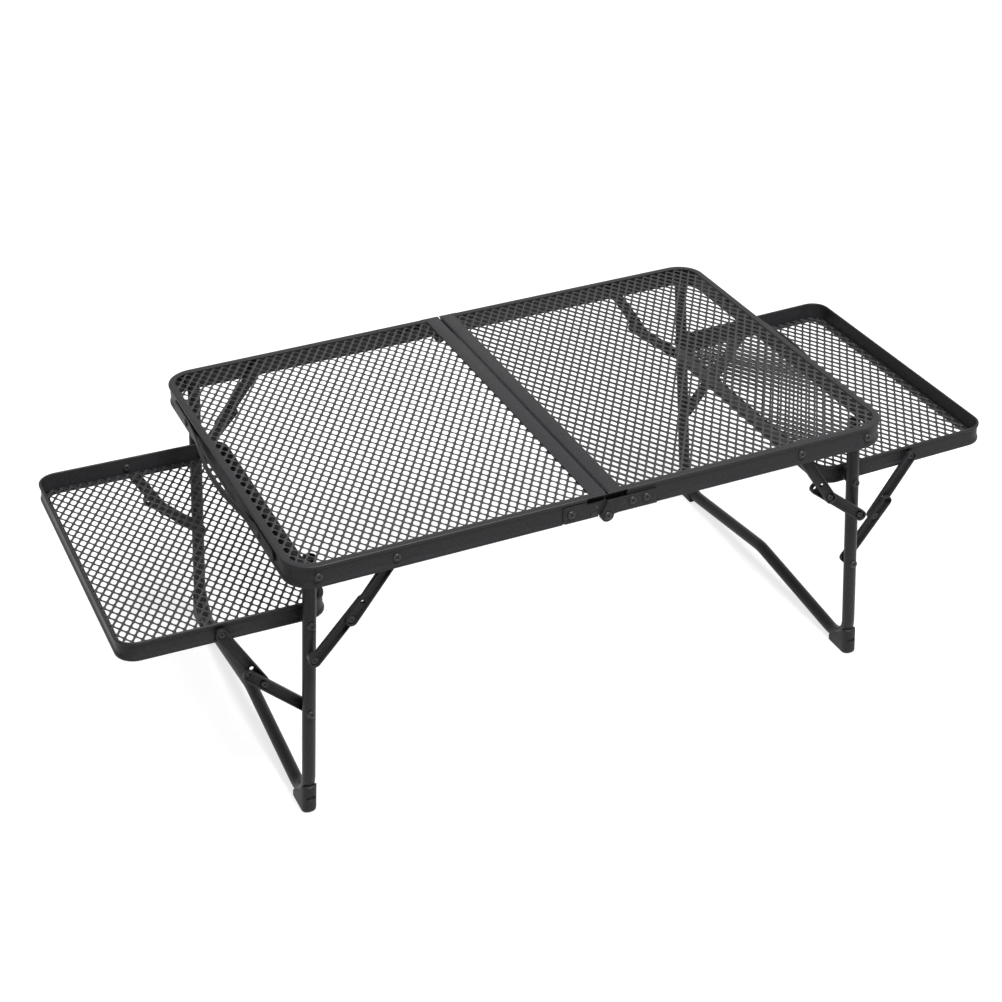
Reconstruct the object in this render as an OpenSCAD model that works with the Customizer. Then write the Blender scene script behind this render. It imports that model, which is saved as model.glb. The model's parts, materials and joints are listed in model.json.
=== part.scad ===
// Folding camping table of coated steel mesh: two half panels that close like a case, a leg frame
// under each end, a side tray hung between the posts of each leg frame, and folding braces.
// +X runs along the table, +Y to its back, +Z up. The origin is on the ground under its centre.

/* [Top] */
// Length of the top, both halves
top_len = 600; // [580:5:640]
// Width of the top, front to back
top_wid = 400; // [380:5:440]
// Height of the top above the ground
table_h = 279; // [277:1:282]
// Depth of the rim
rim_h = 22.5; // [22.5:0.5:26]
// Radius of the outer corners of the top
corner_r = 28; // [20:1:40]
// Thickness of the pressed sheet
sheet_t = 1.2; // [1:0.1:1.4]
// How far the rolled beads stand out from the rim's web
bead_step = 1.2; // [0.6:0.1:1.6]
// Height of each rolled bead
bead_h = 3; // [2:0.5:3.5]
// Width of the flat flange round the top
flange_w = 7; // [6:1:11]
// Width of the bar along the seam on each half
seam_bar_w = 15; // [12:1:18]
// Depth of the lip that stiffens the seam bar
seam_lip_h = 4; // [3:0.5:4.5]
// Gap between the two halves
seam_gap = 1.8; // [1.2:0.2:3]

/* [Mesh] */
// Thickness of the expanded mesh
mesh_t = 1; // [0.8:0.1:1.2]
// Width of a mesh strand
strand_w = 3.4; // [2.5:0.1:5]
// Gaps across each half panel, along X
panel_gaps_x = 6; // [4:1:7]
// Gaps across each half panel, along Y
panel_gaps_y = 5; // [4:1:6]
// Gaps across each side tray, along X
tray_gaps_x = 6; // [4:1:7]
// Gaps across each side tray, along Y
tray_gaps_y = 5; // [4:1:6]

/* [Legs] */
// Distance of the leg pivot from the end of the top
leg_inset = 25; // [22:0.5:28]
// Distance of the leg pivot below the top
leg_drop = 12; // [12:0.25:13]
// Outside diameter of the leg tube
tube_d = 12.5; // [11:0.5:13]
// Wall of the leg tube
tube_wall = 1.2; // [1:0.1:1.6]
// Radius of the bend at each foot, on the tube's centre line
bend_r = 22; // [14:1:24]
// Height of the rail's centre line above the sole at the foot
rail_h = 9.5; // [9:0.25:11]
// Rise of the rail from the foot to its peak in the middle
rail_rise = 17; // [10:1:20]
// How far the post stands above its pivot
post_head = 7; // [6:0.5:8]

/* [Shoes] */
// Width of the plastic shoe along X
shoe_w = 14.4; // [14:0.2:16]
// Length of the shoe's sole
shoe_len = 33; // [26:1:40]
// Height of the shoe at the post
shoe_h = 30; // [24:1:36]
// Height of the shoe at its inner end
shoe_toe_h = 9; // [5:0.5:11]
// Depth of the shoe's level top, along Y
shoe_top = 3; // [2:0.5:6]
// Diameter of the round recess in the shoe's outer face
recess_d = 4.5; // [3:0.5:6]
// Depth of the recess
recess_deep = 0.7; // [0.4:0.1:0.9]
// Height of the recess above the ground
recess_up = 13.8; // [10:0.2:18]
// Wall of the shoe outside the tube
shoe_wall = 1.2; // [1:0.1:2]
// Clearance between the shoe and the tube
shoe_fit = 0.1; // [0.05:0.05:0.3]

/* [Side trays] */
// Reach of the tray outside its pivot
tray_out = 166.5; // [150:0.5:167]
// Reach of the tray inside its pivot
tray_in = 25; // [16:0.5:26]
// Height of the tray's rim
tray_h = 19.5; // [18:0.5:20]
// Height of the tray's pivot above its underside
tray_pivot_up = 9; // [8:0.25:9]
// Radius of the tray's corners
tray_r = 19; // [14:1:22]
// Width of the flange round the tray's floor
tray_flange_w = 8; // [6:1:12]
// Distance of the tray's pivot below the leg pivot, along the post
tray_drop = 61; // [58:0.5:63]

/* [Braces] */
// Width of a brace arm
arm_w = 11; // [10:0.5:12]
// Depth of a brace arm's channel
arm_t = 4.4; // [4:0.1:5]
// Thickness of a brace arm's sheet
arm_wall = 1.4; // [1:0.1:1.6]
// Gap between two arms that pass each other
arm_gap = 0.2; // [0.2:0.05:0.4]
// Gap between an arm and a rim, a tray or a post
side_gap = 0.35; // [0.3:0.05:0.6]
// Space between the lower main arm and the post
post_spacer = 7; // [5:0.5:9]
// Length of the upper main arm between its pivots
main_upper = 70.6; // [69.6:0.1:72.6]
// Length of the lower main arm between its pivots
main_lower = 50.6; // [49.6:0.1:51.6]
// Distance from the leg pivot to the main brace's pivot on the rim
main_reach = 72; // [71:0.5:74]
// Distance from the leg pivot to the main brace's pivot on the post
main_drop = 92; // [91:0.5:93]
// Length of the upper tray arm between its pivots
tray_upper = 69.3; // [68.5:0.1:70]
// Length of the lower tray arm between its pivots
tray_lower = 50.3; // [49.5:0.1:51]
// Distance from the tray's pivot to the tray brace's pivot on the tray
tray_reach = 76; // [75:0.5:77]
// Distance from the tray's pivot to the tray brace's pivot on the post
tray_brace_drop = 95; // [94:0.5:96]
// Bend left in the main braces at rest, left and right, in degrees
main_bend = [5, 18];
// Bend left in the tray braces at rest, left and right, in degrees
tray_bend = [17, 3];
// Length of the lug on a lower arm beyond the elbow, to its hole
lug_len = 19; // [15:0.5:22]
// Diameter of the locking holes in the arms
lock_d = 4; // [2:0.5:5]

/* [Rivets] */
// Diameter of a rivet's shank
rivet_d = 4; // [3:0.25:4.5]
// Diameter of a rivet's head
rivet_head_d = 8; // [7:0.25:8]
// Height of a rivet's head
rivet_head_h = 1.6; // [1.2:0.1:2]
// Diameter of the flat on a rivet's head
rivet_top_d = 5.4; // [4:0.2:6]
// Diameter of a spacer on a pivot
spacer_d = 9; // [8:0.5:10]
// Diameter of a spacer inside an arm
small_spacer_d = 7; // [6:0.5:7]
// Radial clearance of a rivet in an arm that turns on it
turn_fit = 0.1; // [0.05:0.01:0.15]
// Radial clearance of a rivet in a part that it is fixed to
fixed_fit = 0.03; // [0.02:0.01:0.05]

/* [Centre hinges] */
// Distance of the hinge pin below the top
hinge_drop = 23.2; // [23.2:0.1:27]
// Radius of the hinge's ear round its pin
ear_r = 6.5; // [5.5:0.25:7]
// Diameter of the hinge pin
hinge_pin_d = 5; // [4:0.25:6]
// Diameter of the hinge pin's heads
hinge_pin_head_d = 8; // [7:0.25:10]
// Thickness of a hinge leaf
leaf_t = 2; // [1.5:0.1:2.4]
// Length of the left leaf from the seam
left_leaf_len = 44; // [40:1:50]
// Length of the right leaf from the seam
right_leaf_len = 50; // [46:1:56]
// Distance of a leaf's upper edge below the top
leaf_top = 8; // [7:0.5:11]
// Half width of the notch in the rims at the hinge
notch_half = 20; // [18:1:22]
// How far the plate behind the notch reaches past it
backing_lap = 0.8; // [0.5:0.1:1.5]
// Thickness of the left leaf's outer plate
plate_t = 1; // [0.6:0.1:1.2]
// Distance of the outer plate's upper edge below the top
plate_top = 4.8; // [4:0.2:6]
// Distance of the outer plate's lower edge below the top
plate_low = 22.3; // [21:0.1:22.4]
// Distance of the outer plate's inner end from the seam
plate_end = 9; // [8:0.5:12]
// Radius of the outer plate's corners
plate_r = 3; // [1:0.5:4]
// Distance of the leaf rivets below the top
leaf_rivet_drop = 13.5; // [13:0.25:15]
// Places of the right leaf's rivets, from the seam
right_leaf_rivets = [25, 39];
// Place of the left leaf's rivet, from the seam
left_leaf_rivets = [36];

/* [Handles] */
// Half of the span between a handle's rivets
handle_half = 113; // [100:1:125]
// Length of the pad at each end of a handle
pad_len = 50; // [40:1:60]
// How far a pad reaches inwards from its rivet
pad_in = 8; // [6:0.5:12]
// Height of the pad
pad_h = 12; // [10:0.5:13]
// Height of the strap between the pads
strap_h = 8; // [6:0.5:10]
// Thickness of the strap and the pads
strap_t = 2.5; // [2:0.25:3.5]
// How far the strap bows out from the rim
strap_bow = 9; // [8:0.5:14]
// Height of the handle's centre line below the top
handle_drop = 11; // [10.5:0.25:11.5]

/* [Hidden] */
LEFT = 0;
RIGHT = 1;
FRONT = -1;
REAR = 1;
COAT = [0.17, 0.17, 0.18];
BARE = [0.26, 0.26, 0.27];
PLASTIC = [0.10, 0.10, 0.11];
past = 1;

half_len = top_len / 2;
half_wid = top_wid / 2;
seam_x = seam_gap / 2;
web_out = half_wid - bead_step;
web_in = web_out - sheet_t;
pivot_z = table_h - leg_drop;
pivot_x = half_len - leg_inset;
mesh_top = table_h - sheet_t;

// Stack of pieces inside the rim, from the web inwards
main_upper_out = web_in - side_gap;
main_upper_in = main_upper_out - arm_t;
main_lower_out = main_upper_in - arm_gap;
main_lower_in = main_lower_out - arm_t;
post_out = main_lower_in - post_spacer;
post_y = post_out - tube_d / 2;
post_in = post_y - tube_d / 2;
tray_lower_out = post_in - side_gap;
tray_lower_in = tray_lower_out - arm_t;
tray_upper_out = tray_lower_in - arm_gap;
tray_upper_in = tray_upper_out - arm_t;
tray_half = tray_upper_in - side_gap;
tray_web_out = tray_half - bead_step;
tray_web_in = tray_web_out - sheet_t;

// How far a corner of radius r has curved away at a distance d past its start
function curved_away(r, d) = r - sqrt(r * r - max(0, d) * max(0, d));
// Room that the curved webs leave to the pivots near the corners
leg_pivot_room = curved_away(corner_r - bead_step - sheet_t,
    pivot_x + spacer_d / 2 - half_len + corner_r);
tray_pivot_room = curved_away(tray_r - bead_step - sheet_t, tray_r - tray_in + rivet_head_d / 2);

// Two arms a and b that meet at a bend t span this distance, squared
function span2(a, b, t) = a * a + b * b + 2 * a * b * cos(t);
// Outward lean of each leg, from the triangle of pivot, rim and post
function lean(k) = asin((span2(main_upper, main_lower, main_bend[k]) - main_reach * main_reach
    - main_drop * main_drop) / (2 * main_reach * main_drop));
// Angle between the post and its tray, from the triangle of the tray brace
function tray_angle(k) = acos((tray_reach * tray_reach + tray_brace_drop * tray_brace_drop
    - span2(tray_upper, tray_lower, tray_bend[k])) / (2 * tray_reach * tray_brace_drop));
// Rise of the tray above level
function tray_rise(k) = lean(k) + tray_angle(k) - 90;
// A point of the leg's centre line, d along it from the pivot, in X and Z
function on_leg(k, d) = [pivot_x + d * sin(lean(k)), pivot_z - d * cos(lean(k))];
function dist(p, q) = norm(q - p);
function heading(p, q) = atan2(q[1] - p[1], q[0] - p[0]);
// The elbow of two arms a and b from p to q, on the side that turn says
function elbow(p, q, a, b, turn) = p + a * [
    cos(heading(p, q) + turn * acos((a * a + dist(p, q) * dist(p, q) - b * b) / (2 * a * dist(p, q)))),
    sin(heading(p, q) + turn * acos((a * a + dist(p, q) * dist(p, q) - b * b) / (2 * a * dist(p, q))))];

// Pivots of side k, written for the right side; the left is its mirror image
function main_rim_at(k) = [pivot_x - main_reach, pivot_z];
function main_post_at(k) = on_leg(k, main_drop);
function main_elbow_at(k) = elbow(main_rim_at(k), main_post_at(k), main_upper, main_lower, -1);
function tray_at(k) = on_leg(k, tray_drop);
function tray_rim_at(k) = tray_at(k) + tray_reach * [cos(tray_rise(k)), sin(tray_rise(k))];
function tray_post_at(k) = on_leg(k, tray_drop + tray_brace_drop);
function tray_elbow_at(k) = elbow(tray_rim_at(k), tray_post_at(k), tray_upper, tray_lower, 1);
// Length of the leg from its pivot to the ground
function leg_len(k) = pivot_z / cos(lean(k));

// The rail's slope, rounded so that its bends and straights meet exactly
rail_slope = round(100 * atan(rail_rise / (post_y - bend_r))) / 100;
// Length of the swaged ring at each end of the rail
swage_w = 4;
// How much wider than the tube the swaged ring is
swage_out = 0.6;

module on_side(k) {
    mirror([k == LEFT ? 1 : 0, 0, 0]) children();
}
module at_end(e) {
    mirror([0, e == FRONT ? 1 : 0, 0]) children();
}
module at_ends() {
    at_end(FRONT) children();
    at_end(REAR) children();
}
// A round bar along Y from y0 to y1, at the point p of X and Z
module bar(p, y0, y1, d) {
    translate([p[0], y1, p[1]]) rotate([90, 0, 0]) cylinder(h = y1 - y0, d = d, $fn = 48);
}
// A low head with a bevelled edge, from y0 outwards
module head(p, y0, out) {
    translate([p[0], y0, p[1]]) rotate([out > 0 ? -90 : 90, 0, 0]) {
        cylinder(h = rivet_head_h / 2, d = rivet_head_d, $fn = 48);
        translate([0, 0, rivet_head_h / 2])
            cylinder(h = rivet_head_h / 2, d1 = rivet_head_d, d2 = rivet_top_d, $fn = 48);
    }
}
// Places what is drawn from the leg pivot down the leg
module in_leg(k) {
    translate([pivot_x, 0, pivot_z]) rotate([0, -lean(k), 0]) children();
}
// Places what is drawn from the tray's pivot along the tray
module in_tray(k) {
    translate([tray_at(k)[0], 0, tray_at(k)[1]]) rotate([0, -tray_rise(k), 0]) children();
}

// Outline of a half panel, drawn in by inset all round but at the seam
module panel_2d(inset, seam) {
    r = corner_r - inset;
    x1 = half_len - inset;
    w = half_wid - inset;
    translate([seam, -w]) square([x1 - r - seam, 2 * w]);
    translate([x1 - r - past, r - w]) square([r + past, 2 * (w - r)]);
    for (s = [-1, 1]) translate([x1 - r, s * (w - r)]) circle(r = r, $fn = 96);
}
// A ring of the panel's outline between two insets, open at the seam
module panel_ring(inset, width, z, h) {
    translate([0, 0, z]) linear_extrude(h) difference() {
        panel_2d(inset, seam_x);
        panel_2d(inset + width, seam_x - past);
    }
}
module panel_frame(k) color(COAT) on_side(k) {
    difference() {
        panel_rim();
        hinge_notches(k);
        at_ends() {
            bar([pivot_x, pivot_z], web_in - past, half_wid + past, rivet_d + 2 * fixed_fit);
            bar(main_rim_at(k), web_in - past, half_wid + past, rivet_d + 2 * fixed_fit);
            for (x = k == LEFT ? left_leaf_rivets : right_leaf_rivets)
                bar([x, table_h - leaf_rivet_drop], web_in - past, half_wid + past, rivet_d + 2 * fixed_fit);
        }
        for (s = [-1, 1])
            handle_rivet_bar(s, rivet_d + 2 * fixed_fit, half_len - bead_step - sheet_t - past, half_len);
    }
    at_ends() notch_backing(k);
}
// The pressed rim of a half panel with its beads and flange, and the bar and lip along the seam
module panel_rim() {
    panel_ring(bead_step, sheet_t, table_h - rim_h, rim_h);
    panel_ring(0, bead_step + sheet_t, table_h - bead_h, bead_h);
    panel_ring(0, bead_step + sheet_t, table_h - rim_h, bead_h);
    panel_ring(0, flange_w, table_h - sheet_t, sheet_t);
    translate([seam_x, -half_wid, table_h - sheet_t]) cube([seam_bar_w, top_wid, sheet_t]);
    translate([seam_x, -web_in, table_h - seam_lip_h]) cube([sheet_t, 2 * web_in, seam_lip_h]);
}
// The rim is cut away at the seam up to the flange, and its lower bead clears the hinge's plates
module hinge_notches(k) {
    len = k == LEFT ? left_leaf_len : right_leaf_len;
    at_ends() {
        translate([-past, web_in - past, table_h - rim_h - past])
            cube([notch_half + past, bead_step + sheet_t + 2 * past, rim_h - sheet_t - side_gap + past]);
        translate([-past, web_out, table_h - rim_h - past])
            cube([len + 2 * past, bead_step + past, bead_h + 2 * past]);
    }
}
// A plate behind the notch, above the left leaf and clear of its ear
module notch_backing(k) {
    high = -mesh_t - sheet_t - arm_gap;
    far = notch_half + backing_lap;
    lap = 2.2;
    translate([0, web_in + arm_gap, table_h]) rotate([90, 0, 0]) linear_extrude(sheet_t + arm_gap)
        polygon(k == LEFT
            ? [[far, high], [seam_x / 3, high], [seam_x / 3, arm_gap - leaf_top], [far, arm_gap - leaf_top]]
            : [[far, high], [seam_x, high], [seam_x, past - leaf_top], [seam_x + past, -leaf_top - lap],
                [far, -leaf_top - lap]]);
}

// A lattice of diamond gaps, n along X and m along Y, with strands between, over a rectangle
module diamonds(x0, x1, w, n, m) {
    a = (x1 - x0) / n;
    b = 2 * w / m;
    // Half diagonals of a gap, less the strand
    p = a / 2 - strand_w * sqrt(a * a + b * b) / (2 * b);
    q = b / 2 - strand_w * sqrt(a * a + b * b) / (2 * a);
    intersection() {
        translate([x0, -w]) square([x1 - x0, 2 * w]);
        union() {
            for (i = [0 : n - 1], j = [0 : m - 1])
                translate([x0 + (i + 0.5) * a, -w + (j + 0.5) * b]) polygon([[p, 0], [0, q], [-p, 0], [0, -q]]);
            for (i = [0 : n], j = [0 : m])
                translate([x0 + i * a, -w + j * b]) polygon([[p, 0], [0, q], [-p, 0], [0, -q]]);
        }
    }
}
module panel_mesh(k) color(COAT) on_side(k) {
    edge = bead_step + sheet_t + side_gap;
    open = flange_w + past;
    translate([0, 0, mesh_top - mesh_t]) linear_extrude(mesh_t) difference() {
        panel_2d(edge, seam_x + sheet_t + side_gap);
        diamonds(seam_x + seam_bar_w, half_len - open, half_wid - open, panel_gaps_x, panel_gaps_y);
    }
}

// How far the strap stands out at y, between pads that begin at inner
function bow(y, inner) = strap_bow * pow(1 - pow(y / inner, 2), 2);
module handle(k) color(PLASTIC) on_side(k) {
    face = half_len - bead_step;
    inner = handle_half - pad_in;
    steps = 20;
    ys = [for (i = [0 : steps]) -inner + 2 * inner * i / steps];
    difference() {
        union() {
            for (s = [-1, 1]) pad(face, s, inner);
            translate([0, 0, table_h - handle_drop - strap_h / 2]) linear_extrude(strap_h)
                polygon(concat([for (y = ys) [face + bow(y, inner), y]],
                    [for (i = [steps : -1 : 0]) [face + bow(ys[i], inner) + strap_t, ys[i]]]));
        }
        for (s = [-1, 1]) handle_rivet_bar(s, rivet_d + 2 * fixed_fit, face - past, face + strap_t + past);
    }
}
// A flat pad at one end of the handle, with a round outer end
module pad(face, s, inner) {
    y1 = inner + pad_len - pad_h / 2;
    translate([face, 0, table_h - handle_drop]) rotate([90, 0, 90]) linear_extrude(strap_t) {
        translate([s > 0 ? inner - past : -y1, -pad_h / 2]) square([y1 - inner + past, pad_h]);
        translate([s * y1, 0]) circle(d = pad_h, $fn = 48);
    }
}
module handle_rivet_bar(s, d, x0, x1) {
    translate([x0, s * handle_half, table_h - handle_drop]) rotate([0, 90, 0])
        cylinder(h = x1 - x0, d = d, $fn = 48);
}
module handle_rivets(k) color(BARE) on_side(k) {
    face = half_len - bead_step;
    for (s = [-1, 1]) {
        handle_rivet_bar(s, rivet_d, face - sheet_t - rivet_head_h, face + strap_t + rivet_head_h);
        handle_rivet_bar(s, rivet_head_d, face + strap_t, face + strap_t + rivet_head_h);
        handle_rivet_bar(s, rivet_head_d, face - sheet_t - rivet_head_h, face - sheet_t);
    }
}

// A hinge leaf: a plate along the rim with a round ear at the pin
module hinge_leaf(k, e) color(COAT) on_side(k) at_end(e) {
    len = k == LEFT ? left_leaf_len : right_leaf_len;
    y0 = k == LEFT ? web_in - leaf_t : web_out;
    rivets = k == LEFT ? left_leaf_rivets : right_leaf_rivets;
    top_z = -leaf_top;
    low_z = -rim_h + (k == LEFT ? bead_h : 0);
    neck = 0.9 * ear_r;
    root = 1.8 * ear_r;
    difference() {
        union() {
            translate([0, y0 + leaf_t, table_h]) rotate([90, 0, 0]) linear_extrude(leaf_t) {
                translate([0, -hinge_drop]) circle(r = ear_r, $fn = 64);
                polygon([[len, top_z], [0, top_z], [-neck, -hinge_drop], [neck, -hinge_drop], [root, low_z],
                    [len, low_z]]);
            }
            if (k == LEFT) outer_plate(low_z);
        }
        bar([0, table_h - hinge_drop], y0 - past, y0 + leaf_t + past,
            hinge_pin_d + 2 * (k == LEFT ? fixed_fit : turn_fit));
        for (x = rivets)
            bar([x, table_h - leaf_rivet_drop], y0 - past, web_out + leaf_t + past, rivet_d + 2 * fixed_fit);
    }
}
// The left leaf's plate on the rim's face, joined to the leaf through the notch
module outer_plate(low_z) {
    step = notch_half + past;
    end = left_leaf_len;
    translate([0, web_out + plate_t, table_h]) rotate([90, 0, 0]) linear_extrude(plate_t) {
        translate([plate_end, -plate_low]) square([end - plate_r - plate_end, plate_low - leaf_top]);
        translate([step, -plate_low]) square([end - plate_r - step, plate_low - plate_top]);
        translate([step, plate_r - plate_low]) square([end - step, plate_low - plate_top - 2 * plate_r]);
        for (z = [plate_r - plate_low, -plate_top - plate_r])
            translate([end - plate_r, z]) circle(r = plate_r, $fn = 48);
    }
    translate([plate_end, web_in - leaf_t / 2, table_h + low_z + arm_gap])
        cube([notch_half - past / 2 - plate_end, leaf_t / 2 + sheet_t + plate_t / 2,
            -leaf_top - low_z - 2 * arm_gap]);
}
module hinge_rivets(k) color(BARE) on_side(k) at_ends() {
    in = k == LEFT ? web_in - leaf_t : web_in;
    out = web_out + (k == LEFT ? plate_t : leaf_t);
    for (x = k == LEFT ? left_leaf_rivets : right_leaf_rivets) {
        p = [x, table_h - leaf_rivet_drop];
        bar(p, in, out, rivet_d);
        head(p, out, 1);
        head(p, in, -1);
    }
}
// The pins are fixed in the left leaves, and the right leaves turn on them
module hinge_pins() color(BARE) at_ends() {
    p = [0, table_h - hinge_drop];
    bar(p, web_in - leaf_t, web_out + leaf_t + arm_gap, hinge_pin_d);
    bar(p, web_in - leaf_t - rivet_head_h, web_in - leaf_t, hinge_pin_head_d);
    bar(p, web_in, web_out - arm_gap, hinge_pin_head_d);
    bar(p, web_out + leaf_t + arm_gap, web_out + leaf_t + arm_gap + rivet_head_h, hinge_pin_head_d);
}

// The leg pivots and the upper brace rivets stay with the panel
module leg_pivots(k) color(BARE) on_side(k) at_ends() {
    p = [pivot_x, pivot_z];
    bar(p, post_in - side_gap, web_out, rivet_d);
    head(p, web_out, 1);
    head(p, post_in - arm_gap, -1);
    bar(p, post_out + side_gap, web_in - arm_gap - leg_pivot_room, spacer_d);
}
module main_rim_rivets(k) color(BARE) on_side(k) at_ends() {
    p = main_rim_at(k);
    bar(p, main_upper_in, web_out, rivet_d);
    head(p, web_out, 1);
    bar(p, main_upper_in + arm_wall + arm_gap, web_in, small_spacer_d);
}

// Places what is drawn along the rail, from the foot's bend to the peak
module along_rail(k) {
    y = post_y - bend_r * (1 + sin(rail_slope));
    translate([0, -y, -leg_len(k) + rail_h + bend_r * (1 - cos(rail_slope))])
        rotate([rail_slope - 90, 0, 0]) children();
}
module post(k, d, z0, z1) {
    translate([0, -post_y, z0]) cylinder(h = z1 - z0, d = d, $fn = 64);
}
// Half a rail that starts at the distance from, cut off square at the table's middle
module rail(k, d, from) {
    difference() {
        along_rail(k) translate([0, 0, from]) cylinder(h = post_y, d = d, $fn = 64);
        translate([-tube_d, 0, -leg_len(k)]) cube([2 * tube_d, post_y, 2 * shoe_h]);
    }
}
// The front half of the leg as a solid bar of diameter d
module leg_half(k, d) {
    bend_z = -leg_len(k) + rail_h + bend_r;
    post(k, d, bend_z, post_head);
    translate([0, -post_y + bend_r, bend_z]) rotate([90, 0, 90]) rotate([0, 0, 180])
        rotate_extrude(angle = 90 + rail_slope, $fn = 96) translate([bend_r, 0]) circle(d = d, $fn = 64);
    rail(k, d, 0);
    // The swaged ring where the rail meets the bend, hidden in the shoe
    along_rail(k) translate([0, 0, -swage_w / 2]) cylinder(h = swage_w, d = d + swage_out, $fn = 64);
}
module leg_frame(k) color(COAT) on_side(k) in_leg(k) difference() {
    at_ends() mirror([0, 1, 0]) leg_half(k, tube_d);
    at_ends() mirror([0, 1, 0]) {
        post(k, tube_d - 2 * tube_wall, -leg_len(k) + rail_h + bend_r, post_head + past);
        rail(k, tube_d - 2 * tube_wall, swage_w);
    }
    at_ends() {
        bar([0, 0], post_in - past, post_out + past, rivet_d + 2 * turn_fit);
        for (drop = [tray_drop, tray_drop + tray_brace_drop])
            bar([0, -drop], post_in - past, post_out + past, rivet_d + 2 * fixed_fit);
    }
}

// A plastic shoe round the bend of the tube, with its sole flat on the ground
module shoe(k, e) color(PLASTIC) on_side(k) at_end(e) difference() {
    face = post_out + shoe_wall;
    in_leg(k) difference() {
        shoe_block(k);
        mirror([0, 1, 0]) leg_half(k, tube_d + 2 * shoe_fit);
        bar([0, -leg_len(k) + recess_up], face - recess_deep, face + past, recess_d);
    }
    translate([0, -half_wid, -leg_drop]) cube([top_len, top_wid * 2, leg_drop]);
}
module shoe_block(k) {
    out = post_out + shoe_wall;
    low = -leg_len(k) - past;
    foot = -leg_len(k);
    translate([-shoe_w / 2, 0, 0]) rotate([90, 0, 90]) linear_extrude(shoe_w)
        polygon([[out, low], [out, foot + shoe_h], [out - shoe_top, foot + shoe_h],
            [out - shoe_len, foot + shoe_toe_h], [out - shoe_len, low]]);
}
// Pins that are fixed in the posts: the upper ones carry the tray, the lower ones its braces
module tray_pivots(k) color(BARE) on_side(k) in_leg(k) at_ends() {
    p = [0, -tray_drop];
    inner = tray_web_in - arm_gap - tray_pivot_room;
    bar(p, inner, post_out + arm_gap, rivet_d);
    head(p, post_out + arm_gap, 1);
    head(p, inner, -1);
    bar(p, tray_web_out + arm_gap, post_in - arm_gap, spacer_d);
    q = [0, -tray_drop - tray_brace_drop];
    bar(q, post_in + arm_gap, post_out + arm_gap, rivet_d);
    head(q, post_out + arm_gap, 1);
}

// Outline of the tray, drawn in by inset
module tray_2d(inset) {
    r = tray_r - inset;
    x0 = -tray_in + inset;
    x1 = tray_out - inset;
    w = tray_half - inset;
    translate([x0 + r, -w]) square([x1 - x0 - 2 * r, 2 * w]);
    translate([x0, r - w]) square([x1 - x0, 2 * (w - r)]);
    for (s = [-1, 1], x = [x0 + r, x1 - r]) translate([x, s * (w - r)]) circle(r = r, $fn = 96);
}
module tray_ring(inset, width, z, h) {
    translate([0, 0, z]) linear_extrude(h) difference() {
        tray_2d(inset);
        tray_2d(inset + width);
    }
}
module tray_frame(k) color(COAT) on_side(k) in_tray(k) difference() {
    union() {
        tray_ring(bead_step, sheet_t, -tray_pivot_up, tray_h);
        tray_ring(0, bead_step + sheet_t, -tray_pivot_up, bead_h);
        tray_ring(0, bead_step + sheet_t, tray_h - tray_pivot_up - bead_h, bead_h);
        tray_ring(bead_step, tray_flange_w, -tray_pivot_up, sheet_t);
    }
    at_ends() {
        bar([0, 0], tray_web_in - past, tray_half + past, rivet_d + 2 * turn_fit);
        bar([tray_reach, 0], tray_web_in - past, tray_half + past, rivet_d + 2 * fixed_fit);
    }
}
module tray_mesh(k) color(COAT) on_side(k) in_tray(k) {
    edge = bead_step + sheet_t + side_gap;
    open = tray_flange_w + bead_step + past;
    translate([0, 0, sheet_t - tray_pivot_up]) linear_extrude(mesh_t) difference() {
        tray_2d(edge);
        diamonds(open - tray_in, tray_out - open, tray_half - open, tray_gaps_x, tray_gaps_y);
    }
}
module tray_rim_rivets(k) color(BARE) on_side(k) in_tray(k) at_ends() {
    p = [tray_reach, 0];
    bar(p, tray_web_in, tray_upper_in + arm_wall + arm_gap, rivet_d);
    head(p, tray_upper_in + arm_wall + arm_gap, 1);
    head(p, tray_web_in, -1);
    bar(p, tray_web_out, tray_upper_in - arm_gap, small_spacer_d);
}

// A channel arm from its pivot at the origin along X, open outwards, with round ends
module channel(x0, x1, y_in, holes) {
    difference() {
        slab(x0, x1, y_in, arm_t, arm_w);
        translate([0, arm_wall, 0]) slab(x0, x1, y_in, arm_t, arm_w - 2 * arm_wall);
        for (h = holes) bar([h[0], 0], y_in - past, y_in + arm_t + past, h[1]);
    }
}
module slab(x0, x1, y_in, t, w) {
    bar([x0, 0], y_in, y_in + t, w);
    bar([x1, 0], y_in, y_in + t, w);
    translate([x0, y_in, -w / 2]) cube([x1 - x0, t, w]);
}
// Places an arm at the point p, heading for the point q
module aimed(p, q) {
    translate([p[0], 0, p[1]]) rotate([0, -heading(p, q), 0]) children();
}
module upper_arm(p, q, len, y_in) {
    turn_d = rivet_d + 2 * turn_fit;
    aimed(p, q) channel(0, len, y_in, [[0, turn_d], [len, rivet_d + 2 * fixed_fit], [len - lug_len, lock_d]]);
}
module lower_arm(p, q, len, y_in) {
    turn_d = rivet_d + 2 * turn_fit;
    aimed(p, q) channel(-lug_len, len, y_in, [[0, turn_d], [len, rivet_d + 2 * fixed_fit], [-lug_len, lock_d]]);
}
module main_upper_arm(k, e) color(COAT) on_side(k) at_end(e)
    upper_arm(main_rim_at(k), main_elbow_at(k), main_upper, main_upper_in);
module main_lower_arm(k, e) color(COAT) on_side(k) at_end(e)
    lower_arm(main_elbow_at(k), main_post_at(k), main_lower, main_lower_in);
module tray_upper_arm(k, e) color(COAT) on_side(k) at_end(e)
    upper_arm(tray_rim_at(k), tray_elbow_at(k), tray_upper, tray_upper_in);
module tray_lower_arm(k, e) color(COAT) on_side(k) at_end(e)
    lower_arm(tray_elbow_at(k), tray_post_at(k), tray_lower, tray_lower_in);

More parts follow.
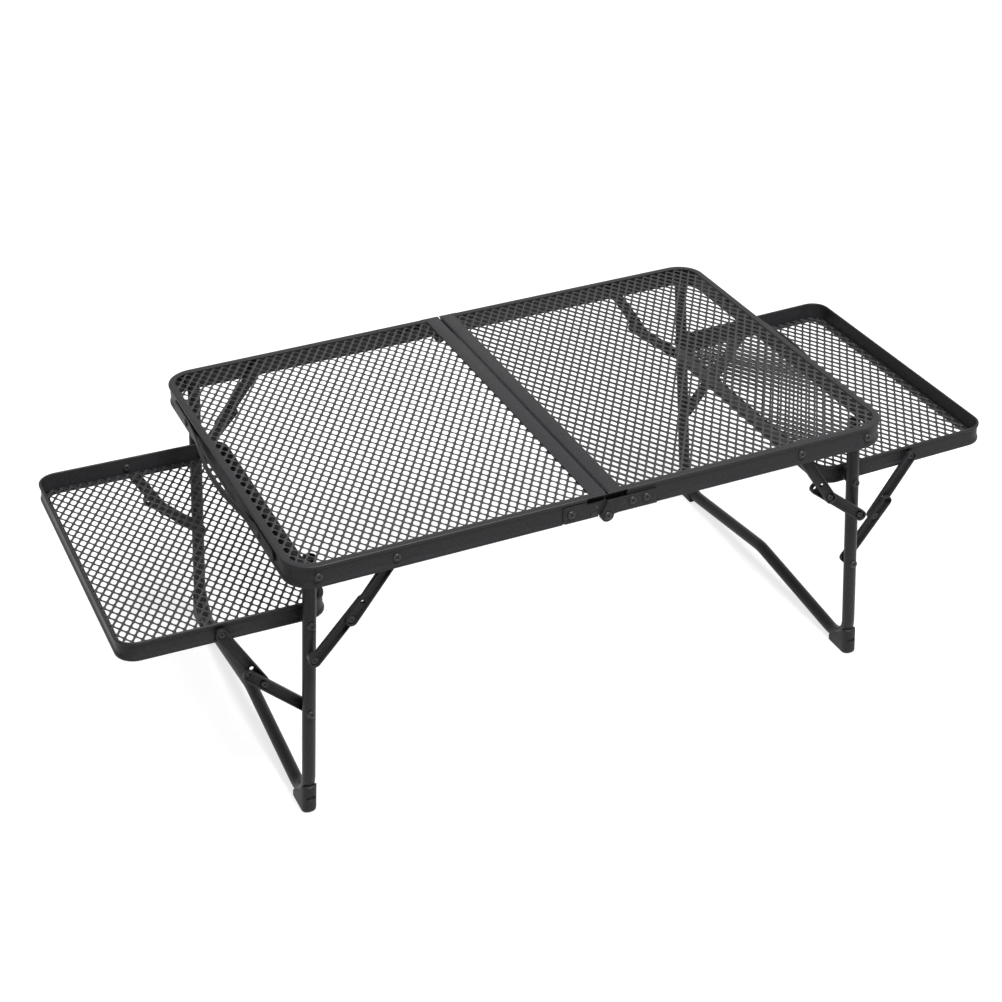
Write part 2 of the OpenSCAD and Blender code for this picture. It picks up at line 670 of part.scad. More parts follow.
// Elbow rivets are fixed in the upper arms, and the lower arms turn on them
module main_elbow_rivets(k) color(BARE) on_side(k) at_ends() {
    p = main_elbow_at(k);
    top = main_upper_in + arm_wall;
    bar(p, main_lower_in - arm_gap, top, rivet_d);
    head(p, top, 1);
    head(p, main_lower_in - arm_gap, -1);
    bar(p, main_lower_in + arm_wall + arm_gap, main_upper_in, small_spacer_d);
}
module tray_elbow_rivets(k) color(BARE) on_side(k) at_ends() {
    p = tray_elbow_at(k);
    top = tray_lower_in + arm_wall + arm_gap;
    bar(p, tray_upper_in, top, rivet_d);
    head(p, top, 1);
    bar(p, tray_upper_in + arm_wall, tray_lower_in - arm_gap, small_spacer_d);
}
// Post rivets are fixed in the lower arms and end just short of the post
module main_post_rivets(k) color(BARE) on_side(k) at_ends() {
    p = main_post_at(k);
    top = main_lower_in + arm_wall;
    bar(p, post_out + side_gap, top, rivet_d);
    head(p, top, 1);
    bar(p, post_out + side_gap, main_lower_in, spacer_d);
}
module tray_post_rivets(k) color(BARE) on_side(k) at_ends() {
    p = tray_post_at(k);
    top = tray_lower_in + arm_wall;
    bar(p, tray_lower_in, top, rivet_d);
    bar(p, top, tray_lower_out, small_spacer_d);
}

panel_frame(LEFT);  // left_panel_frame
panel_mesh(LEFT);  // left_panel_mesh
handle(LEFT);  // left_handle
handle_rivets(LEFT);  // left_handle_rivets
hinge_leaf(LEFT, FRONT);  // left_hinge_leaf_front
hinge_leaf(LEFT, REAR);  // left_hinge_leaf_rear
hinge_rivets(LEFT);  // left_hinge_rivets
leg_pivots(LEFT);  // left_leg_pivots
main_rim_rivets(LEFT);  // left_main_rim_rivets
leg_frame(LEFT);  // left_leg_frame
shoe(LEFT, FRONT);  // left_front_shoe
shoe(LEFT, REAR);  // left_rear_shoe
tray_pivots(LEFT);  // left_tray_pivots
tray_frame(LEFT);  // left_tray_frame
tray_mesh(LEFT);  // left_tray_mesh
tray_rim_rivets(LEFT);  // left_tray_rim_rivets
main_upper_arm(LEFT, FRONT);  // left_main_upper_arm_front
main_upper_arm(LEFT, REAR);  // left_main_upper_arm_rear
main_elbow_rivets(LEFT);  // left_main_elbow_rivets
main_lower_arm(LEFT, FRONT);  // left_main_lower_arm_front
main_lower_arm(LEFT, REAR);  // left_main_lower_arm_rear
main_post_rivets(LEFT);  // left_main_post_rivets
tray_upper_arm(LEFT, FRONT);  // left_tray_upper_arm_front
tray_upper_arm(LEFT, REAR);  // left_tray_upper_arm_rear
tray_elbow_rivets(LEFT);  // left_tray_elbow_rivets
tray_lower_arm(LEFT, FRONT);  // left_tray_lower_arm_front
tray_lower_arm(LEFT, REAR);  // left_tray_lower_arm_rear
tray_post_rivets(LEFT);  // left_tray_post_rivets
panel_frame(RIGHT);  // right_panel_frame
panel_mesh(RIGHT);  // right_panel_mesh
handle(RIGHT);  // right_handle
handle_rivets(RIGHT);  // right_handle_rivets
hinge_leaf(RIGHT, FRONT);  // right_hinge_leaf_front
hinge_leaf(RIGHT, REAR);  // right_hinge_leaf_rear
hinge_rivets(RIGHT);  // right_hinge_rivets
leg_pivots(RIGHT);  // right_leg_pivots
main_rim_rivets(RIGHT);  // right_main_rim_rivets
leg_frame(RIGHT);  // right_leg_frame
shoe(RIGHT, FRONT);  // right_front_shoe
shoe(RIGHT, REAR);  // right_rear_shoe
tray_pivots(RIGHT);  // right_tray_pivots
tray_frame(RIGHT);  // right_tray_frame
tray_mesh(RIGHT);  // right_tray_mesh
tray_rim_rivets(RIGHT);  // right_tray_rim_rivets
main_upper_arm(RIGHT, FRONT);  // right_main_upper_arm_front
main_upper_arm(RIGHT, REAR);  // right_main_upper_arm_rear
main_elbow_rivets(RIGHT);  // right_main_elbow_rivets
main_lower_arm(RIGHT, FRONT);  // right_main_lower_arm_front
main_lower_arm(RIGHT, REAR);  // right_main_lower_arm_rear
main_post_rivets(RIGHT);  // right_main_post_rivets
tray_upper_arm(RIGHT, FRONT);  // right_tray_upper_arm_front
tray_upper_arm(RIGHT, REAR);  // right_tray_upper_arm_rear
tray_elbow_rivets(RIGHT);  // right_tray_elbow_rivets
tray_lower_arm(RIGHT, FRONT);  // right_tray_lower_arm_front
tray_lower_arm(RIGHT, REAR);  // right_tray_lower_arm_rear
tray_post_rivets(RIGHT);  // right_tray_post_rivets
hinge_pins();
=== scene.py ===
"""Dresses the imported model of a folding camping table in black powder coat, on a pale floor.

It makes the pressed rims, the expanded mesh, the bent tubes, the shoes, the rivets and the handles, and
rounds the edges of the brace arms and hinge leaves. Lengths are in millimetres until a mesh is made.
Everything is worked out for the right rear quarter of the table, and mirrored to the front and to the left.
"""

import json
import math

import bmesh
import bpy
import numpy as np
from bpy.props import FloatProperty, FloatVectorProperty, PointerProperty
from mathutils import Euler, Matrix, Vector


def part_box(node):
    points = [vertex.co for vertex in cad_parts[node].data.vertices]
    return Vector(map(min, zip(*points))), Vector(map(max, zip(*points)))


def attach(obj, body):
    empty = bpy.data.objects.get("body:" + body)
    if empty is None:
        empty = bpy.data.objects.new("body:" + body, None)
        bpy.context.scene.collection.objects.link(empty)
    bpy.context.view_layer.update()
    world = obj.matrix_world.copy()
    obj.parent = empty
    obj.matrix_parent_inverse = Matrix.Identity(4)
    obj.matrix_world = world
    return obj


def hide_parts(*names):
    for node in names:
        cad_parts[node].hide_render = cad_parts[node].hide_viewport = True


bl_info = {
    "name": "Folding camping table",
    "version": (1, 0, 0),
    "blender": (4, 5, 0),
    "location": "3D View > Sidebar > Camping Table",
    "description": "Dresses the packed camping table with its rims, mesh, tubes, braces and finishes",
    "category": "Object",
}

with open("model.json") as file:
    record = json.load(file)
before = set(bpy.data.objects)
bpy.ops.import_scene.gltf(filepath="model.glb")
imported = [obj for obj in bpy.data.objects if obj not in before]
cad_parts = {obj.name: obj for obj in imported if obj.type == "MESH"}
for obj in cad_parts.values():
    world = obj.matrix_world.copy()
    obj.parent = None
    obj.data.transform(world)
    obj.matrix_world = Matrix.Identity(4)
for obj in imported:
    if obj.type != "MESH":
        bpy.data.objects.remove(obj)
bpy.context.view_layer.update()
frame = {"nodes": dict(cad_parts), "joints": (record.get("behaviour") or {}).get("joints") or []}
MM = 0.001
SIDES = (("left", -1), ("right", 1))


# What the frame says

def node_box(name):
    """Lowest and highest corner of a CAD node, in millimetres."""
    low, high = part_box(name)
    return np.array(low) / MM, np.array(high) / MM


def joint(name):
    return next(j for j in frame["joints"] if j["name"] == name)


def travel(name):
    """The far end of a joint's range, in degrees, counted from rest."""
    low, high = joint(name)["range_deg"]
    return high if abs(high) > abs(low) else low


class End:
    """One end of the table: the X and Z of its pivots, as on the right, and the turns of its leg and tray."""

    def __init__(self, name, sign):
        self.name = name
        self.sign = sign
        self.leg = self.pivot("leg_fold")
        self.tray = self.pivot("tray_fold")
        self.main_rim = self.pivot("main_upper_fold")
        self.main_elbow = self.pivot("main_lower_fold")
        self.main_post = self.post_end("main")
        self.tray_rim = self.pivot("tray_upper_fold")
        self.tray_elbow = self.pivot("tray_lower_fold")
        self.tray_post = self.post_end("tray")
        self.lean = travel(name + "_leg_fold") - 90
        self.rise = self.lean + abs(travel(name + "_tray_fold")) - 90

    def pivot(self, which):
        x, _, z = joint(self.name + "_" + which)["pos_m"]
        return np.array([self.sign * x, z]) / MM

    def box(self, which):
        return node_box(self.name + "_" + which)

    def post_end(self, brace):
        """A brace's pivot on its post: the middle of the rivets there."""
        low, high = self.box(brace + "_post_rivets")
        middle = (low + high) / 2
        return np.array([self.sign * middle[0], middle[2]])


ENDS = [End(name, sign) for name, sign in SIDES]

TOP_LOW, TOP_HIGH = node_box("right_panel_frame")
SEAM_X = TOP_LOW[0]
HALF_LEN = TOP_HIGH[0]
HALF_WID = TOP_HIGH[1]
TOP_Z = TOP_HIGH[2]
RIM_H = TOP_HIGH[2] - TOP_LOW[2]
ARM_T = float(np.ptp(np.array(node_box("right_main_upper_arm_rear"))[:, 1]))
MAIN_UPPER_IN = node_box("right_main_upper_arm_rear")[0][1]
MAIN_LOWER_IN = node_box("right_main_lower_arm_rear")[0][1]
TRAY_UPPER_IN = node_box("right_tray_upper_arm_rear")[0][1]
TRAY_LOWER_IN = node_box("right_tray_lower_arm_rear")[0][1]
TRAY_HALF = node_box("right_tray_frame")[1][1]


# Settings

def length(name, meaning, default):
    """A setting in millimetres."""
    return FloatProperty(name=name, description=meaning + ", mm", default=default)


def paint(name, meaning, default):
    """A setting that is a colour."""
    return FloatVectorProperty(name=name, description=meaning, subtype="COLOR", size=3, default=default)


class SheetSizes(bpy.types.PropertyGroup):
    thick: length("Sheet", "Thickness of the pressed sheet", 1.2)
    bead_step: length("Bead step", "How far the beads stand out", 1.2)
    bead_h: length("Bead height", "Height of a bead", 3.0)
    step_up: length("Upper slope", "Height of the slope under the top bead", 0.9)
    step_low: length("Lower slope", "Height of the slope over the low bead", 2.4)
    corner: length("Top corner", "Radius of the top's corners", 28.0)
    flange: length("Flange", "Width of the flange round the top", 7.0)
    seam_bar: length("Seam bar", "Width of the bar along the seam", 15.0)
    seam_set: length("Seam bar set", "Set of the seam bar from its lip", 1.0)
    seam_lip: length("Seam lip", "Depth of the seam bar's lip", 4.0)
    notch: length("Hinge notch", "Half width of the rim's notch", 20.0)
    notch_top: length("Notch top", "Rim left above the notch", 1.55)
    backing_lap: length("Backing lap", "Reach of the plate behind a notch past it", 4.0)
    backing_low: length("Backing", "Lower edge of that plate below the top", 14.0)
    sunk: length("Sunk flange", "Depth of the flange below the seam bars", 0.4)
    bar_gap: length("Seam bar gap", "Gap between a seam bar's ends and the web", 0.9)
    bar_in: length("Seam bar corners", "Radius of its corners at the seam", 3.0)
    bar_out: length("Seam bar far corners", "Radius of its other corners", 5.0)
    bar_edge: length("Seam bar edge", "Radius of a seam bar's edges", 0.5)
    lip_past: length("Lip reach", "How far a lip reaches past its seam bar", 0.5)
    lip_edge: length("Lip edge", "Radius of the edges of lips and plates", 0.3)
    backing_gap: length("Backing gap", "Gap between the plates behind the notches", 0.2)
    plate_edge: length("Plate edge", "Radius of the edges of those plates", 0.2)
    past_leaf: length("Past the leaf", "Rim without its low bead past a hinge leaf", 1.0)
    tray_corner: length("Tray corner", "Radius of a tray's corners", 19.0)
    tray_flange: length("Tray flange", "Width of a tray's flange", 8.0)
    tray_out: length("Tray reach", "Reach of a tray outside its pivot", 166.5)
    tray_in: length("Tray inner reach", "Reach of a tray inside its pivot", 25.0)
    tray_h: length("Tray depth", "Depth of a tray", 19.5)
    tray_up: length("Tray pivot", "Height of a tray's pivot in it", 9.0)


class NetSizes(bpy.types.PropertyGroup):
    pitch_x: length("Short way", "Short diagonal of a mesh cell", 9.45)
    pitch_y: length("Long way", "Long diagonal of a mesh cell", 15.4)
    strand: length("Strand", "Width of a strand", 1.6)
    thick: length("Thickness", "Thickness of a strand", 0.8)
    twist: length("Twist", "Rise of a strand's edge above its middle", 0.42)
    roundness: FloatProperty(name="Roundness", description="Power of a cell's rounded outline", default=1.25)


class TubeSizes(bpy.types.PropertyGroup):
    width: length("Tube", "Outside diameter of the leg tube", 12.5)
    wall: length("Wall", "Wall of the leg tube", 1.2)
    bend: length("Foot bend", "Radius of the bend at a foot", 31.0)
    peak: length("Peak bend", "Radius of the bend at the rail's peak", 60.0)
    rail_h: length("Rail height", "Height of the rail at the foot", 9.5)
    rail_rise: length("Rail rise", "Rise of the rail to its peak", 17.0)
    head: length("Post head", "Post above its pivot", 7.0)
    mouth: length("Mouth", "Visible depth of the tube's open ends", 4.0)
    shoe_w: length("Shoe width", "Width of a shoe", 14.4)
    shoe_len: length("Shoe length", "Length of a shoe's sole", 33.0)
    shoe_h: length("Shoe height", "Height of a shoe at the post", 30.0)
    shoe_toe: length("Shoe toe", "Height of a shoe at its inner end", 7.5)
    shoe_top: length("Shoe top", "Length of a shoe's level top", 3.4)
    shoe_knee: length("Shoe knee", "Place of the knee behind a shoe's front", 14.5)
    knee_drop: length("Knee drop", "Drop from a shoe's top to its knee", 9.5)
    shoe_edge: length("Shoe edge", "Radius of a shoe's long edges", 1.8)
    shoe_round: length("Shoe front", "Radius of a shoe round its post", 6.6)
    shoe_zone: length("Shoe front depth", "Depth of a shoe's rounded front", 14.0)
    recess_up: length("Recess", "Height of the recess above the sole", 17.4)
    recess_w: length("Recess width", "Half width of the recess", 4.0)
    recess_h: length("Recess height", "Half height of the recess", 2.3)
    recess_deep: length("Recess depth", "Depth of the recess", 1.5)


class FixingSizes(bpy.types.PropertyGroup):
    wall: length("Arm sheet", "Thickness of an arm's sheet", 1.4)
    gap: length("Arm gap", "Gap between pieces that pass", 0.2)
    side_gap: length("Side gap", "Gap between an arm and a post", 0.35)
    shank: length("Shank", "Radius of a rivet's shank", 2.0)
    head: length("Head", "Radius of a rivet's head", 4.0)
    head_h: length("Head height", "Height of a rivet's head", 1.6)
    spacer: length("Spacer", "Radius of a spacer on a post", 4.5)
    small_spacer: length("Small spacer", "Radius of a spacer in an arm", 3.5)
    edge: length("Pressed edge", "Radius of the edges of pressed arms", 0.32)
    leaf_edge: length("Leaf edge", "Radius of the edges of hinge leaves", 0.512)
    pin: length("Hinge pin", "Radius of a hinge pin", 2.5)
    collar: length("Pin collar", "Radius of a hinge pin's collar", 4.0)


class HandleSizes(bpy.types.PropertyGroup):
    strap_h: length("Strap height", "Height of the strap", 8.0)
    thick: length("Strap", "Thickness of the strap", 2.5)
    inner: length("Strap half length", "Half length of the bowed strap", 105.0)
    bow: length("Bow", "How far the strap bows out", 9.0)
    taper: length("Taper", "Length from the pad's height to the strap's", 14.0)


class Finishes(bpy.types.PropertyGroup):
    coat: paint("Coat", "Colour of the powder coat", (0.0105, 0.0105, 0.0115))
    net: paint("Mesh", "Colour of the coat on the mesh", (0.019, 0.019, 0.020))
    rivet: paint("Rivets", "Colour of the rivets", (0.012, 0.012, 0.013))
    plastic: paint("Plastic", "Colour of shoes and handles", (0.010, 0.010, 0.011))
    peel: FloatProperty(name="Grain", description="Grain of the coat, grains per metre", default=650.0)
    rough: FloatProperty(name="Roughness", description="Roughness of the coat", default=0.46)
    gloss: FloatProperty(name="Gloss", description="Strength of the coat's reflections", default=0.15)
    net_gloss: FloatProperty(name="Mesh gloss", description="Strength of the mesh's reflections",
                             default=0.17)
    rivet_gloss: FloatProperty(name="Rivet gloss", description="Strength of the rivets' reflections",
                               default=0.25)


class StageSettings(bpy.types.PropertyGroup):
    place: FloatVectorProperty(name="Camera", description="Place of the camera, m",
                               subtype="TRANSLATION", size=3, default=(-0.6958, -1.5847, 1.2192))
    turn: FloatVectorProperty(name="Turn", description="Turn of the camera, degrees", size=3,
                              default=(58.55, 1.20, -23.87))
    lens: length("Lens", "Focal length of the camera", 72.5)
    fill: FloatProperty(name="Fill", description="Strength of the surroundings as a light", default=0.1)
    lamp: FloatProperty(name="Lamp", description="Power of the soft lamp overhead, W", default=150.0)
    lamp_place: FloatVectorProperty(name="Lamp place", description="Place of the lamp, m",
                                    subtype="TRANSLATION", size=3, default=(0.25, -0.85, 2.4))
    lamp_size: FloatProperty(name="Lamp size", description="Side of the square lamp, m", default=0.9)
    near: FloatProperty(name="Near", description="Where the floor starts to turn plain white, m", default=1.0)
    far: FloatProperty(name="Far", description="Where the floor is plain white, m", default=2.2)
    floor: FloatProperty(name="Floor", description="Half length of the floor, m", default=6.0)
    glow: FloatProperty(name="Glow", description="Strength of the plain white in the floor", default=1.3)
    sensor: length("Sensor", "Width of the camera's sensor", 36.0)
    sight: FloatProperty(name="Sight", description="How far the camera sees, m", default=50.0)
    white: FloatProperty(name="White floor", description="Share of plain white in the floor as seen",
                         default=0.6)


GROUPS = (("table_sheet", SheetSizes), ("table_net", NetSizes), ("table_tube", TubeSizes),
          ("table_fixing", FixingSizes), ("table_handle", HandleSizes), ("table_finish", Finishes),
          ("table_stage", StageSettings))


# Surfaces

class Skin:
    """A closed surface: points in millimetres, quads, and flat caps given as rings of point numbers."""

    def __init__(self, points, quads, caps=()):
        self.points = np.asarray(points, float)
        self.quads = np.asarray(quads, int)
        self.caps = [np.asarray(cap, int) for cap in caps]

    def volume(self):
        """Six times the signed volume: the sum of each triangle's triple product."""
        tris = [self.quads[:, (0, 1, 2)], self.quads[:, (0, 2, 3)]]
        tris += [np.stack([np.full(len(c) - 2, c[0]), c[1:-1], c[2:]], 1) for c in self.caps]
        a, b, c = (self.points[np.concatenate(tris)[:, k]] - self.points[0] for k in range(3))
        return float(np.sum(a * np.cross(b, c)))

    def outward(self):
        """The same surface with its faces turned outwards."""
        if self.volume() < 0:
            return Skin(self.points, self.quads[:, ::-1], [cap[::-1] for cap in self.caps])
        return self

    def moved(self, change):
        """The surface after change is applied to its points."""
        return Skin(change(self.points), self.quads, self.caps)

    def both_ends(self):
        """The surface and its mirror image at the front."""
        return [self, self.moved(lambda p: p * (1, -1, 1))]


def ring_quads(rings, around, closed=False):
    """Quads of a grid of points numbered ring by ring. A closed grid joins its last ring to its first."""
    i = np.arange(rings if closed else rings - 1)[:, None]
    j = np.arange(around)[None, :]
    i2, j2 = (i + 1) % rings, (j + 1) % around
    corners = np.broadcast_arrays(i * around + j, i * around + j2, i2 * around + j2, i2 * around + j)
    return np.stack([c.ravel() for c in corners], 1)


def loft(grid):
    """A surface through rings of points, an array of rings by points by three, with a cap at each end."""
    rings, around, _ = grid.shape
    first = np.arange(around)
    last = first + (rings - 1) * around
    return Skin(grid.reshape(-1, 3), ring_quads(rings, around), [first[::-1], last])


def unit(vectors):
    """The vectors of an array, each at length 1."""
    return vectors / np.linalg.norm(vectors, axis=1, keepdims=True)


def rounded(corners, radii, steps=6):
    """The closed outline through corners with each corner turned into an arc, and its outward normals. The
    arc's centre lies on the corner's bisector, and its directions are blended evenly from side to side."""
    c = np.asarray(corners, float)
    r = np.broadcast_to(np.asarray(radii, float), len(c))[:, None]
    back = unit(np.roll(c, 1, 0) - c)
    ahead = unit(np.roll(c, -1, 0) - c)
    half = np.arccos(np.clip(np.sum(back * ahead, 1), -1, 1))[:, None] / 2
    centre = c + unit(back + ahead) * r / np.sin(half)
    first = (c + back * r / np.tan(half) - centre) / r
    last = (c + ahead * r / np.tan(half) - centre) / r
    angle = np.arccos(np.clip(np.sum(first * last, 1), -1, 1))[:, None, None]
    s = np.linspace(0, 1, steps)[None, :, None]
    way = (np.sin((1 - s) * angle) * first[:, None] + np.sin(s * angle) * last[:, None]) / np.sin(angle)
    points = (centre[:, None] + r[:, :, None] * way).reshape(-1, 2)
    turn = np.sign(back[:, 1] * ahead[:, 0] - back[:, 0] * ahead[:, 1])[:, None, None]
    area = np.sum(c[:, 0] * np.roll(c[:, 1], -1) - c[:, 1] * np.roll(c[:, 0], -1))
    return points, (way * turn * np.sign(area)).reshape(-1, 2)


def section(corners):
    """The outline of a rolled section through corners of (a, b, radius)."""
    corners = np.array(corners)
    return rounded(corners[:, :2], corners[:, 2], steps=5)[0]


def plate(outline, normals, levels):
    """Rings of an outline drawn in by inset at each height, as points by (a, b, height)."""
    inset, height = np.asarray(levels, float).T
    flat = outline[None] - normals[None] * inset[:, None, None]
    tall = np.broadcast_to(height[:, None, None], flat.shape[:2] + (1,))
    return loft(np.concatenate([flat, tall], 2))


def soft_levels(low, high, edge, steps=4):
    """Insets and heights of a slab from low to high with its edges rounded to a radius."""
    t = np.linspace(0, math.pi / 2, steps)
    up = np.stack([edge * (1 - np.sin(t)), low + edge * (1 - np.cos(t))], 1)
    down = np.stack([edge * (1 - np.cos(t)), high - edge * (1 - np.sin(t))], 1)
    return np.concatenate([up, down])


def turned(profile, centre, around=28):
    """A lathe shape about a line along Y: each (radius, y) of the profile becomes a circle round the centre,
    which is given by its x and z."""
    radius, y = np.asarray(profile, float).T
    a = np.linspace(0, 2 * math.pi, around, endpoint=False)
    x = centre[0] + radius[:, None] * np.cos(a)
    z = centre[1] + radius[:, None] * np.sin(a)
    return loft(np.stack([x, np.broadcast_to(y[:, None], x.shape), z], 2))


def swung(pivot, heading):
    """A change that turns points drawn along X by heading degrees in XZ, and moves them to the pivot."""
    c = math.cos(math.radians(heading))
    s = math.sin(math.radians(heading))

    def change(p):
        x = pivot[0] + p[:, 0] * c - p[:, 2] * s
        z = pivot[1] + p[:, 0] * s + p[:, 2] * c
        return np.stack([x, p[:, 1], z], 1)

    return change


# Pieces

# Points closer than this are made one, in metres
MERGE = 1e-6

# Faces that meet at less than the flat angle are made one, and edges past the hard one are rounded, in degrees
FLAT_ANGLE = 0.5
HARD_ANGLE = 50


def piece(name, skins, end, material, body, stands_for, sharp=35.0):
    """Makes one object of the surfaces, mirrored to its end of the table, and lets it ride on its body. Edges
    sharper than the given angle stay hard."""
    placed = [skin.moved(lambda p: p * (end.sign, 1, 1)).outward() for skin in skins]
    starts = np.cumsum([0] + [len(skin.points) for skin in placed[:-1]])
    points = np.concatenate([skin.points for skin in placed]) * MM
    faces = [quad for skin, start in zip(placed, starts) for quad in (skin.quads + start).tolist()]
    faces += [(cap + start).tolist() for skin, start in zip(placed, starts) for cap in skin.caps]
    mesh = bpy.data.meshes.new(name)
    mesh.from_pydata(points.tolist(), [], faces)
    mesh.shade_smooth()
    mesh.set_sharp_from_angle(angle=math.radians(sharp))
    return rigged(linked(name, mesh), material, body, stands_for)


def linked(name, data):
    """A new object in the scene."""
    obj = bpy.data.objects.new(name, data)
    bpy.context.scene.collection.objects.link(obj)
    return obj


def rigged(obj, material, body, stands_for):
    """Gives a finished object its material, its body and the CAD nodes that it stands for."""
    obj.data.materials.clear()
    obj.data.materials.append(material)
    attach(obj, body)
    if stands_for:
        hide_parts(*stands_for)
    return obj


def softened(node, material, body, edge):
    """A copy of a flat-sided CAD piece with its edges rounded, as pressed and coated steel has them."""
    mesh = frame["nodes"][node].data.copy()
    work = bmesh.new()
    work.from_mesh(mesh)
    bmesh.ops.remove_doubles(work, verts=work.verts, dist=MERGE)
    flat = math.radians(FLAT_ANGLE)
    bmesh.ops.dissolve_limit(work, angle_limit=flat, verts=work.verts, edges=work.edges)
    work.to_mesh(mesh)
    work.free()
    mesh.shade_smooth()
    obj = linked(node + "_coated", mesh)
    bevel = obj.modifiers.new("edges", "BEVEL")
    bevel.width = edge * MM
    bevel.segments = 2
    bevel.limit_method = "ANGLE"
    bevel.angle_limit = math.radians(HARD_ANGLE)
    bevel.use_clamp_overlap = True
    bevel.harden_normals = True
    return rigged(obj, material, body, [node])


# Materials

FINISH_NAMES = {"coat": "coat on rims", "net": "coat on mesh", "tube": "coat on tubes",
                "rivet": "coat on rivets", "plastic": "black plastic"}

# Grains per metre of the broad changes of tone, of the scuffs on plastic and of the floor's mottling
BROAD_GRAIN = 22.0
SCUFF_GRAIN = 160.0
FLOOR_GRAIN = 3.0

# How much finer than the peel the specks are
SPECK_FINER = 2.3

# How much darker or paler than its finish a spot is; the peel's hollows carry painted shade and its peaks a
# painted highlight
PEEL_HOLLOW_SHADE = 0.5
PEEL_PEAK_HIGHLIGHT = 1.6
PATCH = 1.4
SPECK = 2.4
SCUFF = 1.7

# Ranges of a noise: where the tone changes, where the roughness changes, and where specks and scuffs lie
MIDDLE = (0.3, 0.7)
WIDE = (0.2, 0.8)
SPECKS = (0.60, 0.72)
SCUFFS = (0.58, 0.7)

# How much of the tone patches, specks and scuffs take up
PATCH_SHARE = 0.25
SPECK_SHARE = 0.4
SCUFF_SHARE = 0.5

# How much the broad changes, the peel, the scuffs and the fine grain add to the roughness
BROAD_ROUGH = 0.1
PEEL_ROUGH = 0.12
SCUFF_ROUGH = 0.12
FINE_ROUGH = 0.1

# Least roughness of the plastic, and the depth of its grain in millimetres
PLASTIC_ROUGH = 0.45
PLASTIC_DEPTH = 0.05

# Colours of the floor and of plain white
PALE = (0.8, 0.8, 0.8, 1)
LESS_PALE = (0.78, 0.78, 0.78, 1)
WHITE = (1, 1, 1, 1)


class Value:
    """A socket that can be added and multiplied, so that shader maths reads as a formula."""

    def __init__(self, finish, socket):
        self.finish = finish
        self.socket = socket

    def maths(self, kind, other):
        return self.finish.node("ShaderNodeMath", {"operation": kind}, {0: self, 1: other})

    def __add__(self, other):
        return self.maths("ADD", other)

    def __mul__(self, other):
        return self.maths("MULTIPLY", other)


class Nodes:
    """A node tree under construction: node() adds any node, and feed() sets or links any socket."""

    def __init__(self, tree):
        self.tree = tree

    def node(self, kind, settings=None, inputs=None, output=0):
        made = self.tree.nodes.new(kind)
        for key, setting in (settings or {}).items():
            setattr(made, key, setting)
        for key, value in (inputs or {}).items():
            self.feed(made.inputs[key], value)
        return Value(self, made.outputs[output])

    def feed(self, socket, value):
        if isinstance(value, Value):
            self.tree.links.new(value.socket, socket)
        else:
            socket.default_value = value

    def seen(self):
        """1 for rays from the camera, from a gloss or through glass, and 0 for the rays that light things."""
        camera, glossy, through = (self.node("ShaderNodeLightPath", output="Is " + kind + " Ray")
                                   for kind in ("Camera", "Glossy", "Transmission"))
        clamped = {"operation": "ADD", "use_clamp": True}
        return self.node("ShaderNodeMath", clamped, {0: camera + glossy, 1: through})

    def shown(self, share, shader, other, to):
        """Sends a mix of two shader sockets to the output: share of the second for rays that see."""
        mixed = self.node("ShaderNodeMixShader", {}, {0: self.seen() * share, 1: shader, 2: other})
        self.feed(to.inputs["Surface"], mixed)


class Finish(Nodes):
    """A material under construction, with methods for the nodes used most."""

    def __init__(self, name):
        self.material = bpy.data.materials.new(name)
        self.material.use_nodes = True
        super().__init__(self.material.node_tree)
        self.shader = next(n for n in self.tree.nodes if n.type == "BSDF_PRINCIPLED")

    def place(self):
        return self.node("ShaderNodeTexCoord", output="Object")

    def noise(self, scale, detail=2.0, rough=0.5):
        return self.node("ShaderNodeTexNoise", {}, {"Vector": self.place(), "Scale": scale, "Detail": detail,
                                                    "Roughness": rough})

    def band(self, value, low, high):
        """0 below low, 1 above high and even between."""
        return self.node("ShaderNodeMapRange", {"clamp": True},
                         {"Value": value, "From Min": low, "From Max": high})

    def blend(self, mask, first, second):
        """Mixes two colours. The node has its colour sockets under these numbers."""
        return self.node("ShaderNodeMix", {"data_type": "RGBA"}, {0: mask, 6: first, 7: second}, output=2)

    def bump(self, height, depth, strength=1.0):
        return self.node("ShaderNodeBump", {}, {"Height": height, "Distance": depth, "Strength": strength})

    def set(self, **inputs):
        for key, value in inputs.items():
            self.feed(self.shader.inputs[key.replace("_", " ")], value)
        return self.material


def tinted(colour, factor):
    return tuple(min(1.0, c * factor) for c in colour) + (1.0,)


def coat_finish(name, colour, grain, rough, depth, gloss):
    """Powder coat: fine orange peel, darker in its hollows as painted shade and paler on its peaks as painted
    highlight, broad faint changes of tone, and a sheen that varies with the peel.
    """
    finish = Finish(name)
    peel = finish.noise(grain, detail=3.0, rough=0.6)
    broad = finish.noise(BROAD_GRAIN)
    specks = finish.band(finish.noise(grain * SPECK_FINER, detail=1.0), *SPECKS)
    # Painted shade in the peel's hollows and painted highlight on its peaks, following the bump's noise
    tone = finish.blend(finish.band(peel, *MIDDLE), tinted(colour, PEEL_HOLLOW_SHADE), tinted(colour, PEEL_PEAK_HIGHLIGHT))
    tone = finish.blend(finish.band(broad, *MIDDLE) * PATCH_SHARE, tone, tinted(colour, PATCH))
    tone = finish.blend(specks * SPECK_SHARE, tone, tinted(colour, SPECK))
    added = finish.band(broad, *WIDE) * BROAD_ROUGH + peel * PEEL_ROUGH
    return finish.set(Base_Color=tone, Specular_IOR_Level=gloss, Metallic=0.0,
                      Roughness=added + (rough - (BROAD_ROUGH + PEEL_ROUGH) / 2),
                      Normal=finish.bump(peel, depth * MM))


